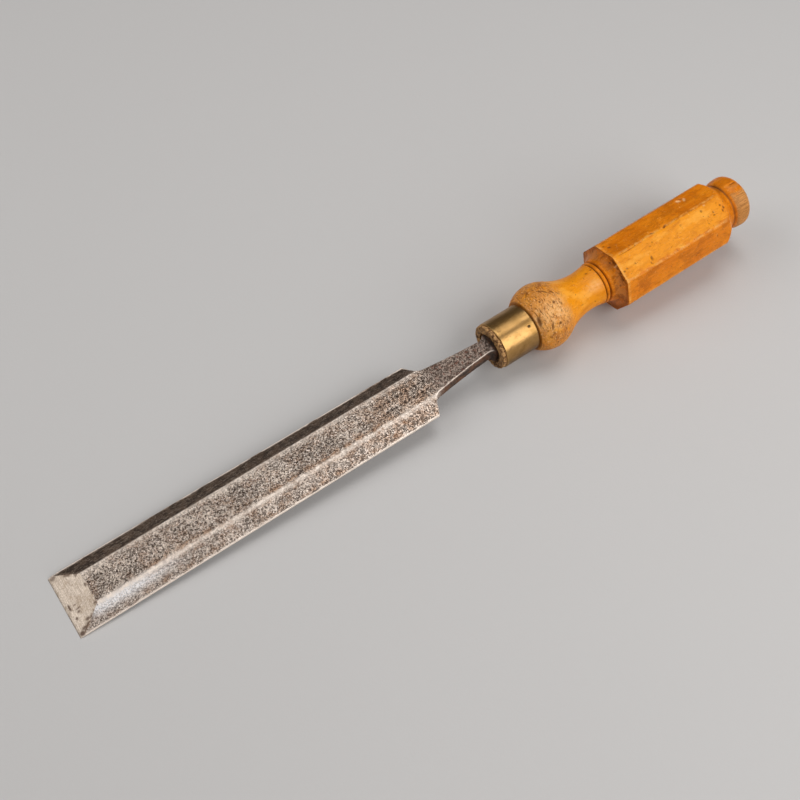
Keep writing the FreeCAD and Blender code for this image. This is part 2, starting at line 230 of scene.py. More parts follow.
SHOULDER_CURL = (-0.45, -0.375)  # the small curve between shoulder and neck
NECK_START = (187.2, 6.9)
NECK_MIDDLE = (200.5, 5.15)
NECK_END = (214.6, 3.9)
NECK_END_TOP, NECK_END_BOTTOM = 3.95, -2.45
NECK_CHAMFER = 0.16
BOLSTER_RIM = (218.9, 5.3)
BOLSTER_CORNER_R = 6.8
BOLSTER_FLARE = (0.55, -0.65)  # seen from above
BOLSTER_SWEEP = (0.6, -0.6)  # seen from the side
TANG_END_X = 296.6
TANG_HALVES = (3.6, 1.4)
TANG_RINGS = 6
# start, end and number of the rings: close together at the edge, the marks and the shoulders
BLADE_SPANS = ((0.0, 14.0, 48), (14.0, 158.0, 188), (158.0, 180.2, 74), (180.2, 188.0, 34),
               (188.0, 214.0, 56), (214.0, 219.2, 22), (219.2, SEAT_X, 4))
BEVEL_STEPS, TOP_STEPS, SIDE_STEPS, BACK_STEPS = 34, 66, 6, 48
BURR_STEPS = 3  # points of a ring on the upper left edge's burr
RIGHT_EDGE = BEVEL_STEPS + TOP_STEPS + BEVEL_STEPS  # the ring's point on the upper right edge
WAVE_HEIGHT, PIT_DEPTH, NICK_DEPTH, MARK_DEPTH = 0.05, 0.16, 0.16, 0.16


def blade_stations():
    """Where the blade's rings stand along the axis."""
    stations = [start + (end - start) * i / count for start, end, count in BLADE_SPANS for i in range(count)]
    return np.array(stations + [SEAT_X])


def half_width(x):
    """Half of the forging's width seen from above."""
    outline = [(0, EDGE_HALF), (BLADE_LENGTH, SHOULDER_HALF)]
    outline += arc_points(SHOULDER_FOOT, bowed(SHOULDER_FOOT, NECK_START, *SHOULDER_CURL), NECK_START, 8)
    outline += arc_points(NECK_START, NECK_MIDDLE, NECK_END, 12)
    outline += arc_points(NECK_END, bowed(NECK_END, BOLSTER_RIM, *BOLSTER_FLARE), BOLSTER_RIM, 10)
    outline += [BOLSTER_RIM, (SEAT_X, BOLSTER_RIM[1])]
    xs, halves = zip(*outline)
    return np.interp(x, xs, halves)


def side_line(x, neck_end_z, start_z):
    """Height of the forging's top or bottom line behind the shoulders."""
    up = math.copysign(1, neck_end_z)
    neck_end = (NECK_END[0], neck_end_z)
    rim = (BOLSTER_RIM[0], up * BOLSTER_RIM[1])
    sweep = bowed(neck_end, rim, BOLSTER_SWEEP[0], up * BOLSTER_SWEEP[1])
    outline = [(NECK_START[0], start_z)] + arc_points(neck_end, sweep, rim, 10) + [rim, (SEAT_X, rim[1])]
    xs, heights = zip(*outline)
    return np.interp(x, xs, heights)


def dressed(y):
    """Height of the bolster's rounded corners at y."""
    return np.sqrt(np.maximum(BOLSTER_CORNER_R ** 2 - y ** 2, 0.1))


def top_height(x, y, half):
    """Height of the forging's upper surface."""
    t = (x - BEVEL_LENGTH) / (BLADE_LENGTH - BEVEL_LENGTH)
    flat = between(TOP_AT_BEVEL_Z, TOP_AT_SHOULDER_Z, t)
    full_half = between(EDGE_HALF, SHOULDER_HALF, x / BLADE_LENGTH)
    land = BACK_Z + between(LAND_AT_EDGE, LAND_AT_SHOULDER, x / BLADE_LENGTH)
    flat_half = between(TOP_HALF_AT_BEVEL, TOP_HALF_AT_SHOULDER, t)
    bevel = land + (full_half - np.abs(y)) * (flat - land) / (full_half - flat_half)
    ridge_wear = np.where(y < 0, RIDGE_WEAR_RIGHT, RIDGE_WEAR_LEFT) * between(FRESH_RIDGE, 1, step(14, 50, x))
    top = smooth_min(flat, bevel, ridge_wear)
    ground = BACK_Z + HONED_LENGTH * HONED_SLOPE + (x - HONED_LENGTH) * GROUND_SLOPE
    honed = BACK_Z + EDGE_THICKNESS + x * HONED_SLOPE
    top = smooth_min(top, smooth_min(ground, honed, 0.02), 0.06)
    neck = side_line(x, NECK_END_TOP, TOP_AT_SHOULDER_Z + 0.04)
    height = np.where(x < NECK_START[0], np.minimum(top, neck), neck)
    height = np.where(x > NECK_END[0], smooth_min(height, dressed(y), 0.3), height)
    chamfered = height + (half - np.abs(y)) - NECK_CHAMFER
    return np.where(x > BLADE_LENGTH, smooth_min(height, chamfered, 0.25), height)


def forging_rings():
    """The forging's rings: upper surface from left to right, right side, back, left side."""
    x = blade_stations()[:, None]
    half = half_width(x)
    t = np.clip((x - BEVEL_LENGTH) / (BLADE_LENGTH - BEVEL_LENGTH), 0, 1)
    ridge = np.minimum(between(TOP_HALF_AT_BEVEL, TOP_HALF_AT_SHOULDER, t), half - 0.7)
    bevel_steps = np.arange(BEVEL_STEPS)[None, :] / BEVEL_STEPS
    top_steps = np.arange(TOP_STEPS)[None, :] / TOP_STEPS
    y = np.concatenate([between(half, ridge, bevel_steps), between(ridge, -ridge, top_steps),
                        -between(ridge, half, bevel_steps), -half], axis=1)
    z = top_height(x, y, half)
    burr = (x > BEVEL_LENGTH / 3) & (x < BLADE_LENGTH + 1.5) & (np.arange(y.shape[1])[None, :] < BURR_STEPS)
    z = np.where(burr, z[:, BURR_STEPS:BURR_STEPS + 1], z)
    bottom = np.where(x < NECK_START[0], BACK_Z, side_line(x, NECK_END_BOTTOM, BACK_Z))
    side_steps = np.arange(1, SIDE_STEPS)[None, :] / SIDE_STEPS
    right_z = between(z[:, -1:], bottom, side_steps)
    left_z = between(bottom, z[:, :1], side_steps)
    back_y = between(-half, half, np.arange(BACK_STEPS + 1)[None, :] / BACK_STEPS)
    back_z = np.where(x > NECK_END[0], np.maximum(bottom, -dressed(back_y)), bottom + 0 * back_y)
    right_z = np.maximum(right_z, back_z[:, :1])
    left_z = np.maximum(left_z, back_z[:, -1:])
    y = np.concatenate([y, -half + 0 * side_steps, back_y, half + 0 * side_steps], axis=1)
    z = np.concatenate([z, right_z, back_z, left_z], axis=1)
    return np.stack([x + 0 * y, y, z], axis=-1)


def tang_rings(around):
    """A few rings of square section, with as many points as the forging's rings."""
    turn = math.tau * (np.arange(around) + 0.5) / around
    square = 1 / np.maximum(np.abs(np.cos(turn)), np.abs(np.sin(turn)))
    rings = []
    for s in np.linspace(0, 1, TANG_RINGS):
        half = between(*TANG_HALVES, s)
        x = np.full(around, SEAT_X + 0.02 + (TANG_END_X - SEAT_X) * s)
        rings.append(np.stack([x, half * square * np.cos(turn), half * square * np.sin(turn)], axis=-1))
    return np.stack(rings)


MARK_ROWS = ((157.2, 1.8, 12), (158.4, -2.9, 11))  # x of the first mark, y of the row, how many
MARK_PITCH = 2.35
MARK_SIZES = (0.75, 1.1)


def punch_marks(points):
    """Two rows of small diamond punch marks near the shoulders, 0 to 1."""
    mask = np.zeros(points.shape[:-1])
    for first_x, y, count in MARK_ROWS:
        for n in range(count):
            x = first_x + n * MARK_PITCH
            away = (np.abs(points[..., 0] - x) + np.abs(points[..., 1] - y)) / MARK_SIZES[n % 2]
            mask = np.maximum(mask, 1 - step(0.55, 1.15, away))
    return mask * (points[..., 2] > 0)


def along_ridges(rings):
    """1 along the two ridges between the flat top and the side bevels."""
    x, y = rings[..., 0], rings[..., 1]
    spread = np.where(y < 0, 1.15, 0.8)
    return hump(np.abs(y), RIDGE_Y, spread) * (x > BEVEL_LENGTH) * (x < NECK_START[0])


def batter(rings, ridge, upper, marks):
    """How waves, pits, nicks and punch marks move the forging's points."""
    x = rings[..., 0]
    shown = (x < SEAT_X - 0.1) * step(1.0, 3.5, x)
    waves = WAVE_HEIGHT * cloud(rings, (26, 9, 9), 1)
    pits = PIT_DEPTH * np.maximum(cloud(rings, (2.6, 1.5, 1.5), 2) - 0.25, 0) * step(12, 15, x)
    nicks = NICK_DEPTH * np.maximum(cloud(rings, (3.5, 2.0, 2.0), 3), 0) * ridge
    height = (waves - pits * upper - nicks * upper) * shown - MARK_DEPTH * marks
    return grid_normals(rings) * height[..., None]


def bevel_foot(y):
    """How far back the end bevel reaches at y: full length in the middle, less on the side bevels."""
    out = np.clip((np.abs(y) - TOP_HALF_AT_BEVEL) / (EDGE_HALF - TOP_HALF_AT_BEVEL), 0, 1)
    return between(BEVEL_LENGTH, BEVEL_LENGTH_AT_SIDE, out)


def ground_end(rings, on_top):
    """1 on the ground end bevel, less on the back behind the edge, where it has been lapped."""
    x, y = rings[..., 0], rings[..., 1]
    lapped_back = 0.65 * (1 - step(5, 24, x + 3 * cloud(rings, (9, 6, 6), 9, 2)))
    return np.where(on_top, 1 - step(-0.25, 0.25, x - bevel_foot(y)), lapped_back)


def edge_height(rings):
    """Height of the upper edge on each point's own side."""
    z = rings[..., 2]
    return np.where(rings[..., 1] < 0, z[:, RIGHT_EDGE:RIGHT_EDGE + 1], z[:, :1])


def worn_and_lit_edges(rings, half, on_blade, upper):
    """1 on the upright lands and along the forging's edges: wear, and painted highlights, brighter on the
    neck's right edge than on its left.
    """
    y, z = rings[..., 1], rings[..., 2]
    outside = np.abs(y) - half
    land = step(-0.25, -0.1, outside) * step(BACK_Z, BACK_Z + 0.2, z) * on_blade
    # painted highlight along the neck's upper edges, stronger on the right side than on the left
    neck_edge = hump(np.hypot(outside, z - edge_height(rings)), 0, 0.42) * (1 - on_blade)
    left = hump(y, half, 0.55) * step(-0.6, 0.0, cloud(rings, (7, 2, 2), 7, 2))
    right = hump(y, -half, 0.5) * step(-0.6, 0.1, cloud(rings, (3, 2, 2), 14, 2))
    bright = land + neck_edge * np.where(y < 0, 0.9, 0.35) + (left + 0.8 * right) * on_blade * upper
    return np.clip(bright, 0, 1)


def rust_at_foot(rings):
    """Ragged rust along the foot of the end bevel, beside the flat top."""
    y = rings[..., 1]
    line = plateau(bevel_foot(y) - rings[..., 0], -0.2, 0.1, 0.8, 2.2) * (np.abs(y) > TOP_HALF_AT_BEVEL - 0.6)
    ragged = cloud(rings, (1.8, 1.8, 1.8), 5)
    return line * np.where(y < 0, step(-0.35, 0.05, ragged), 0.7 * step(0.0, 0.3, ragged))


def brown_stain(rings, half):
    """Brown stain beside the right ridge, along the right edge and towards the shoulders."""
    x, right = rings[..., 0], -rings[..., 1]
    lines = hump(right, RIDGE_Y - 1.6, 1.5) + 0.5 * hump(right, RIDGE_Y + 1.8, 1.0)
    lines = lines + 0.6 * hump(right, half - 1.6, 1.0)
    ragged = cloud(rings, (9, 2.4, 2.4), 6, 3) + 0.35 * step(90, 140, x)
    lines = lines * step(20, 45, x) * step(-0.3, 0.45, ragged)
    by_shoulder = 0.5 * step(138, 165, x + 4 * cloud(rings, (6, 4, 4), 15, 2))
    return np.clip(np.maximum(lines, by_shoulder), 0, 1)


def bolster_rust_and_shade(rings):
    """1 on the rim of the bolster, less on its flares and on the flanks of the neck: rust on the rim,
    darkened further as painted shade, and painted shade on the flares and on the flanks below the neck's
    upper edges.
    """
    x, y, z = rings[..., 0], rings[..., 1], rings[..., 2]
    flares = 0.6 * step(NECK_END[0] + 0.9, BOLSTER_RIM[0] - 0.4, x) * step(0.4, 1.4, np.abs(y) - NECK_END[1])
    rim = step(BOLSTER_RIM[0] - 0.7, BOLSTER_RIM[0] + 0.1, x + 0.5 * cloud(rings, (2, 2, 2), 8, 2))
    # painted shade on the neck's flanks below its upper edges
    flanks = 0.9 * step(NECK_START[0] - 2, NECK_START[0] + 3, x) * step(0.5, 1.3, edge_height(rings) - z)
    return np.maximum(np.maximum(flares, rim), flanks)


# x, y, length along x, width along y, strength: stains left on the end bevel and by the shoulder
STAINS = ((2, -1.6, 0.5, 2, 0.9), (5, -4.2, 1.4, 0.4, 0.6), (4.6, -5.6, 0.7, 0.6, 0.7),
          (2.6, -7.6, 0.6, 0.8, 0.8), (4.4, -2, 1, 0.4, 0.5), (1.6, -14.6, 1.2, 1.2, 0.9),
          (3.6, -13.2, 1.4, 0.7, 0.8), (6.4, -10.9, 1.2, 0.7, 0.7), (1.8, 14.6, 1.4, 1.3, 0.6),
          (10.6, 8.4, 0.5, 0.5, 0.7), (12.2, 2.3, 0.6, 1.1, 0.6), (12, -7.2, 0.9, 0.6, 0.6),
          (151, -7, 1, 0.8, 0.7), (153.8, -5.8, 0.9, 0.6, 0.6), (152, -8.9, 0.7, 0.8, 0.7),
          (154.2, -8.4, 0.8, 0.8, 0.6), (157.7, -13.2, 1.5, 0.9, 0.6), (164.3, -10.8, 0.9, 0.9, 0.6))


def rust_spots(points):
    """The separate stains, 0 to 1."""
    mask = np.zeros(points.shape[:-1])
    for x, y, length, width, strength in STAINS:
        away = np.hypot((points[..., 0] - x) / length, (points[..., 1] - y) / width)
        mask = np.maximum(mask, strength * (1 - step(0.45, 1.25, away)))
    return mask * (points[..., 2] > BACK_Z + 0.2)


def blade():
    """Blade, neck, bolster and tang, with nicked ridges, pits and rust."""
    rings = forging_rings()
    rings = np.concatenate([rings, tang_rings(rings.shape[1])])
    marks = punch_marks(rings)
    ridge = along_ridges(rings)
    upper = step(-0.3, 0.3, rings[..., 2] - BACK_Z - 0.5)
    rings[:-TANG_RINGS] += batter(rings, ridge, upper, marks)[:-TANG_RINGS]
    x, y = rings[..., 0], rings[..., 1]
    half = half_width(x)
    on_blade = 1 - step(BLADE_LENGTH + 1, SHOULDER_FOOT[0] + 1, x)
    on_top = np.arange(y.shape[1])[None, :] <= RIGHT_EDGE
    bevel_end = ground_end(rings, on_top)
    behind_bevel = 1 - bevel_end
    left_of_top = 0.6 * hump(y, RIDGE_Y - 1.0, 1.2) * on_blade
    # painted reflection: the right bevel near the cutting edge is painted near white where it mirrors the
    # right softbox, and has fewer pits
    polish_and_reflection = plateau(x, 4, 12, 26, 62) * hump(-y, RIDGE_Y + 2.2, 2.4)
    masks = {
        "marks": marks,
        "ridge": np.maximum(ridge, left_of_top) * upper * behind_bevel,
        "side": worn_and_lit_edges(rings, half, on_blade, upper),
        "bevel_end": bevel_end,
        "right": step(0, 1.2, -y - RIDGE_Y) * behind_bevel,
        "left": step(0, 0.8, y - RIDGE_Y) * upper * on_blade * behind_bevel,
        "neck": step(BLADE_LENGTH + 2, NECK_START[0] + 4, x),
        "bolster": bolster_rust_and_shade(rings),
        "spots": np.maximum(rust_spots(rings), 0.85 * rust_at_foot(rings)) * on_top,
        "polish_and_reflection": polish_and_reflection * upper * behind_bevel,
        "stain": brown_stain(rings, half) * upper * on_blade,
    }
    return skin("chisel_blade", lean(rings), masks)


# ---- the ferrule -----------------------------------------
FERRULE_FRONT_X = 221.4
FERRULE_REAR_X = 240.4
FERRULE_R = 11.57
FERRULE_BORE_R = 10.62
FERRULE_ROUND = 0.42  # the front rim's rounding
AROUND = 240  # points round the ferrule and round the handle
# painted shade: two bands round the tube are darkened where its reflections look dark
PAINTED_SHADE_BANDS = ((91, 14, 0.70), (205, 28, 0.7))  # degrees from +Y towards +Z, spread in degrees, how dark
PUNCH = (237.2, math.radians(123), 0.75, 0.55)  # x, angle from +Y towards +Z, radius, depth


def ferrule_profile():
    """Outline (x, r) of the tube: front face, rounded rim, outside, rear rim and bore."""
    front, rear = FERRULE_FRONT_X, FERRULE_REAR_X
    outline = [(front, FERRULE_BORE_R), (front, FERRULE_R - FERRULE_ROUND)]
    for degrees in (22.5, 45, 67.5, 90):
        back = FERRULE_ROUND * (1 - math.cos(math.radians(degrees)))
        down = FERRULE_ROUND * (1 - math.sin(math.radians(degrees)))
        outline.append((front + back, FERRULE_R - down))
    outline += line_points((front + 0.6, FERRULE_R), (rear - 0.35, FERRULE_R), 70)
    outline += [(rear - 0.35, FERRULE_R), (rear - 0.12, FERRULE_R - 0.06), (rear, FERRULE_R - 0.22),
                (rear, FERRULE_BORE_R), ((front + rear) / 2, FERRULE_BORE_R)]
    return np.array(outline)


def ferrule():
    """Brass tube with a rounded front rim, small dents and the punch mark that keys it."""
    profile = ferrule_profile()
    x, r = profile[:, :1], profile[:, 1:]
    turn = math.tau * np.arange(AROUND)[None, :] / AROUND
    rings = np.stack([x + 0 * turn, r * np.cos(turn), r * np.sin(turn)], axis=-1)
    punch_x, punch_turn, punch_r, punch_depth = PUNCH
    away = np.hypot(x - punch_x, turned_from(turn, punch_turn) * FERRULE_R)
    punch = np.clip(1 - away / punch_r, 0, 1)
    waves = 0.03 * cloud(rings, (12, 12, 12), 12, 2)
    dents = 0.12 * np.maximum(cloud(rings, (5, 5, 5), 11, 2) - 0.35, 0)
    height = (waves - dents + 0.05 * hump(away, punch_r, 0.3)) * (r > FERRULE_BORE_R + 0.1)
    outward = rings * np.array([0, 1, 1]) / r[..., None]
    rings = rings + outward * (height - punch_depth * punch)[..., None]
    rim = np.exp(-(x - FERRULE_FRONT_X) / 0.5) + np.exp(-(FERRULE_REAR_X - x) / 0.5)
    # painted shade in bands round the tube, by angle
    painted_shade_bands = sum(dark * hump(turn, math.radians(at), math.radians(spread)) for at, spread, dark in PAINTED_SHADE_BANDS)
    masks = {
        "punch": np.clip(punch * 1.6, 0, 1),
        "rim": np.clip(rim + 0 * turn, 0, 1),
        "painted_shade_bands": np.clip(painted_shade_bands + 0 * x, 0, 1),
    }
    return skin("brass_ferrule", rings, masks, loop=True)


# ---- the handle ------------------------------------------
END_GRAIN_X = 219.6
END_GRAIN_R = 11.15
SEAT_R = 7.4  # the round seat that the bolster stands in
BORE_STEPS, SEAT_STEPS, WALL_STEPS = 5, 6, 4  # rings of the bore, the seat and its wall
SPIGOT_R = FERRULE_BORE_R - 0.02
TURNED_X = FERRULE_REAR_X + 0.02  # where the turned wood behind the ferrule starts
BULB_X, BULB_R, BULB_ARC_R = 250.2, 16.41, 14.8
WAIST_X, WAIST_R, WAIST_ARC_R = 274.5, 9.72, 32.0
BEAD_X = (281.65, 283.95)  # the two cuts beside the bead
BEAD_MIDDLE_X = 282.8
BEAD_HEIGHT = 0.3
CUT_HALF_WIDTH, CUT_DEPTH = 0.42, 0.6
COVE = ((284.55, 11.1), (287.9, 13.0), (289.1, 16.4))
OCTAGON_X = 289.1
OCTAGON_FLATS = 32.5
OCTAGON_ROLL = math.radians(-14.5)
OCTAGON_OFF = (-0.76, -0.25)  # the octagon is planed a little off the axis
OCTAGON_SHARPNESS = 64  # lower rounds its ridges more
OCTAGON_RIDGE_R = 17.5
BLANK_R = 18.5
REAR_CURVE = ((352.2, 18.5), (356.3, 15.6), (359.5, 12.5))
BUTTON_NECK = (360.7, 11.85)
BUTTON_FRONT = (362.2, 11.65)
BUTTON_SWELL = (364.2, 12.6)
BUTTON_WIDEST = (367.8, 13.1)
BUTT_X, DOME_R, DOME_EDGE_R = 374.7, 28.0, 10.6


def bulb(x):
    """Radius of the bulb at x."""
    return BULB_R - BULB_ARC_R + math.sqrt(BULB_ARC_R ** 2 - (x - BULB_X) ** 2)


def waist(x):
    """Radius of the waist at x."""
    return WAIST_R + WAIST_ARC_R - math.sqrt(WAIST_ARC_R ** 2 - (x - WAIST_X) ** 2)


def dome(radius):
    """The point (x, r) of the domed butt at this radius."""
    return BUTT_X - DOME_R + math.sqrt(DOME_R ** 2 - radius ** 2), radius


def front_profile():
    """Hidden bore and seat, the proud ring of end grain, and the spigot inside the ferrule."""
    face, rim = END_GRAIN_X, END_GRAIN_R
    points = line_points((TANG_END_X + 0.1, TANG_HALVES[1]), (SEAT_X, TANG_HALVES[0]), BORE_STEPS)
    points += line_points((SEAT_X, TANG_HALVES[0]), (SEAT_X, SEAT_R), SEAT_STEPS)
    points += line_points((SEAT_X, SEAT_R), (face + 0.15, SEAT_R), WALL_STEPS)
    points += line_points((face, SEAT_R + 0.15), (face, rim - 0.35), 12)
    points += arc_points((face, rim - 0.35), (face + 0.12, rim - 0.1), (face + 0.45, rim), 4)
    points += line_points((face + 0.45, rim), (FERRULE_FRONT_X - 0.12, rim), 6)
    points += line_points((FERRULE_FRONT_X - 0.05, rim - 0.2), (FERRULE_FRONT_X, SPIGOT_R), 2)
    points += line_points((FERRULE_FRONT_X, SPIGOT_R), (TURNED_X, SPIGOT_R), 3)
    return points


def turned_profile():
    """Bulb, waist, the two cuts with their bead, and the cove that ends at the octagon's front face."""
    rear = TURNED_X
    run = WAIST_X - BULB_X
    rise = WAIST_R + WAIST_ARC_R - (BULB_R - BULB_ARC_R)
    join = BULB_X + BULB_ARC_R * run / math.hypot(run, rise)
    first, second = BEAD_X
    cut = first - CUT_HALF_WIDTH
    root = waist(cut) + 0.05
    floor_r = root - CUT_DEPTH
    bead_start, bead_end = (first + CUT_HALF_WIDTH, root), (second - CUT_HALF_WIDTH, root)
    points = line_points((rear, FERRULE_BORE_R), (rear, bulb(rear) - 0.3), 5)
    points += [(rear + 0.06, bulb(rear) - 0.12)]
    points += arc_points((rear + 0.25, bulb(rear + 0.25)), (BULB_X, BULB_R), (join, bulb(join)), 58)
    points += arc_points((join, waist(join)), (WAIST_X, WAIST_R), (cut, waist(cut)), 46)
    points += line_points((cut, root), (first, floor_r), 4)
    points += line_points((first, floor_r), bead_start, 4)
    points += arc_points(bead_start, (BEAD_MIDDLE_X, root + BEAD_HEIGHT), bead_end, 8)
    points += line_points(bead_end, (second, floor_r), 4)
    points += line_points((second, floor_r), COVE[0], 4)
    points += arc_points(*COVE, 26)
    return points


def grip_profile():
    """The blank that the flats are planed on, its turned-over back, the groove and the button."""
    points = line_points(COVE[2], (OCTAGON_X + 0.05, BLANK_R - 0.6), 6)
    points += line_points((OCTAGON_X + 0.15, BLANK_R), (OCTAGON_X + 0.9, BLANK_R), 4)
    points += line_points((OCTAGON_X + 0.9, BLANK_R), REAR_CURVE[0], 110)
    points += arc_points(*REAR_CURVE, 28)
    points += arc_points(REAR_CURVE[2], BUTTON_NECK, BUTTON_FRONT, 8)
    points += arc_points(BUTTON_FRONT, BUTTON_SWELL, BUTTON_WIDEST, 14)
    edge = dome(DOME_EDGE_R)
    points += arc_points(BUTTON_WIDEST, bowed(BUTTON_WIDEST, edge, 0.95, 0.6), edge, 20)
    points += [dome(DOME_EDGE_R * (1 - n / 12)) for n in range(12)]
    return points


def octagon_radius(turn):
    """Distance from the turning's axis to the planed grip, with slightly rounded ridges."""
    total = 0
    for k in range(8):
        facing = OCTAGON_ROLL + math.radians(45 * k)
        distance = OCTAGON_FLATS / 2 + OCTAGON_OFF[0] * math.cos(facing) + OCTAGON_OFF[1] * math.sin(facing)
        total = total + np.maximum(np.cos(turn - facing) / distance, 0) ** OCTAGON_SHARPNESS
    return total ** (-1 / OCTAGON_SHARPNESS)


def ring_turns():
    """Angles of a ring's points, closer together at the ridges of the octagon."""
    t = math.tau * np.arange(AROUND) / AROUND
    return t + OCTAGON_ROLL + 0.55 * np.sin(8 * t) / 8


# x, degrees, length along the axis, width round it, turned by degrees, depth, dirt: dents and bruises.
# Where the dirt is below 0 the dent is a fresh chip that shows bare wood.
DENTS = ((241.7, 126, 0.9, 3.2, 8, 0.55, 0.9), (246.2, 143, 0.45, 2.4, 24, 0.3, 0.9),
         (252, 109, 0.8, 0.9, 0, 0.35, 0.9), (255.3, 117, 0.6, 0.8, 20, 0.3, 0.7),
         (250.2, 145, 0.9, 0.8, 0, 0.4, 0.9), (251.7, 85, 0.4, 1.9, -35, 0.25, 0.9),
         (254.6, 91, 0.4, 1.6, -30, 0.22, 0.9), (250, 79, 0.35, 1.5, -40, 0.2, 0.8),
         (256.8, 97, 0.35, 1.3, -25, 0.2, 0.7), (246.5, 96, 0.5, 0.7, 0, 0.25, 0.8),
         (244.3, 110, 0.5, 0.8, 40, 0.2, 0.5), (247.3, 128, 0.4, 0.7, -20, 0.2, 0.6),
         (244.5, 68, 0.4, 1.6, 50, 0.2, 0.6), (253.5, 128, 0.5, 0.5, 0, 0.2, 0.6),
         (249, 134, 0.4, 0.9, 60, 0.2, 0.5), (258.5, 104, 0.3, 0.5, 0, 0.15, 0.5),
         (245.6, 158, 0.4, 1.3, 30, 0.2, 0.6), (252.6, 160, 0.5, 0.9, -30, 0.2, 0.6),
         (247.5, 30, 0.5, 1.8, 30, 0.3, 0.7), (253, 355, 0.8, 0.9, 0, 0.3, 0.7),
         (249.5, 215, 0.9, 1.1, 20, 0.3, 0.6), (252.5, 260, 0.5, 2.2, -20, 0.25, 0.7),
         (246, 310, 0.7, 0.9, 0, 0.3, 0.6),
         (277.5, 80, 0.7, 0.5, 0, 0.15, 0.8), (280.4, 79, 0.5, 0.5, 0, 0.12, 0.8),
         (275, 168, 0.5, 0.4, 0, 0.15, 0.8),
         (267, 150, 0.8, 0.3, 0, 0.1, 0.6), (270.5, 240, 0.7, 0.4, 0, 0.15, 0.7),
         (290.8, 127, 0.5, 0.5, 0, 0.25, 1), (292.7, 125, 0.6, 0.4, 0, 0.2, 0.9),
         (297.8, 124.5, 0.5, 0.45, 0, 0.2, 0.9), (306.7, 131.5, 0.6, 1.4, 12, 0.3, 0.8),
         (309, 113, 0.7, 0.35, 0, 0.2, 0.6), (311, 110, 0.5, 0.5, 0, 0.2, 0.8),
         (305.4, 138, 0.4, 0.8, 0, 0.2, 0.7), (342.1, 108.7, 0.6, 0.8, 20, 0.25, 0.9),
         (347.7, 120.5, 0.5, 0.6, 0, 0.25, 1), (347.5, 125, 0.5, 0.5, 0, 0.25, 0.9),
         (342.6, 133, 0.5, 0.5, 0, 0.2, 0.7), (352.8, 116, 0.5, 0.6, 0, 0.25, 1),
         (353.9, 122, 0.6, 0.6, 0, 0.3, 1), (352.8, 126, 0.5, 0.6, 0, 0.25, 0.9),
         (355.4, 113, 0.5, 0.5, 0, 0.2, 0.8), (328.6, 111, 0.5, 0.8, 30, 0.2, 0.5),
         (293, 74, 0.9, 0.6, 10, 0.3, 0.9), (291.6, 66, 0.6, 0.8, 30, 0.25, 0.7),
         (321.2, 98, 1.6, 0.6, -32, 0.45, 0.8), (313.5, 97, 1.2, 0.5, 20, 0.25, 0.6),
         (338.6, 65, 1.5, 0.9, 40, 0.55, -0.9), (341.4, 69, 0.6, 1.5, 35, 0.5, -0.8),
         (340.4, 63, 1.6, 0.35, 40, 0.4, 0.8), (372.4, 92, 0.9, 0.5, 20, 0.3, -0.8),
         (288.8, 112, 0.45, 0.5, 0, 0.2, -0.7), (345, 103, 0.6, 0.5, 0, 0.15, -0.6),
         (330, 86, 1.6, 0.5, 25, 0.2, 0.25), (297.5, 101, 6, 0.2, -1, 0.2, 0.6),
         (288.3, 99, 0.3, 0.5, 0, 0.2, 0.7),
         (288, 152, 0.3, 0.8, 12, 0.2, 0.6), (368.2, 88, 2.6, 0.28, 4, 0.35, 0.95),
         (371, 98, 0.5, 0.7, 0, 0.3, 0.3), (310, 255, 0.8, 1.2, 30, 0.35, 0.8),
         (330, 300, 1.4, 0.7, -20, 0.35, 0.7), (344, 215, 0.7, 0.7, 0, 0.3, 0.8),
         (300, 345, 0.9, 0.8, 10, 0.35, 0.8), (322, 30, 1.2, 0.6, 25, 0.35, 0.7),
         (337, 345, 0.6, 0.6, 0, 0.3, 0.8), (316, 165, 0.6, 0.5, 0, 0.2, 0.6),
         (333, 172, 0.7, 0.5, 0, 0.2, 0.6), (345.5, 160, 0.6, 0.5, 0, 0.2, 0.7))


def dent_masks(x, turn, radius):
    """Depth in mm, dirt and bare wood from 0 to 1 of all the dents."""
    depth = np.zeros(np.broadcast(x, turn).shape)
    dirt_and_shade, chipped = np.zeros_like(depth), np.zeros_like(depth)
    for at_x, degrees, length, width, slant, deep, dirty in DENTS:
        across = turned_from(turn, math.radians(degrees)) * radius
        along = x - at_x
        c, s = math.cos(math.radians(slant)), math.sin(math.radians(slant))
        away = np.hypot((along * c + across * s) / length, (across * c - along * s) / width)
        bowl = np.exp(-(away ** 2) * 1.2)
        depth = np.maximum(depth, deep * bowl)
        dirt_and_shade = np.maximum(dirt_and_shade, dirty * step(0.12, 0.75, bowl))
        chipped = np.maximum(chipped, -dirty * step(0.25, 0.6, bowl))
    return depth, dirt_and_shade, chipped


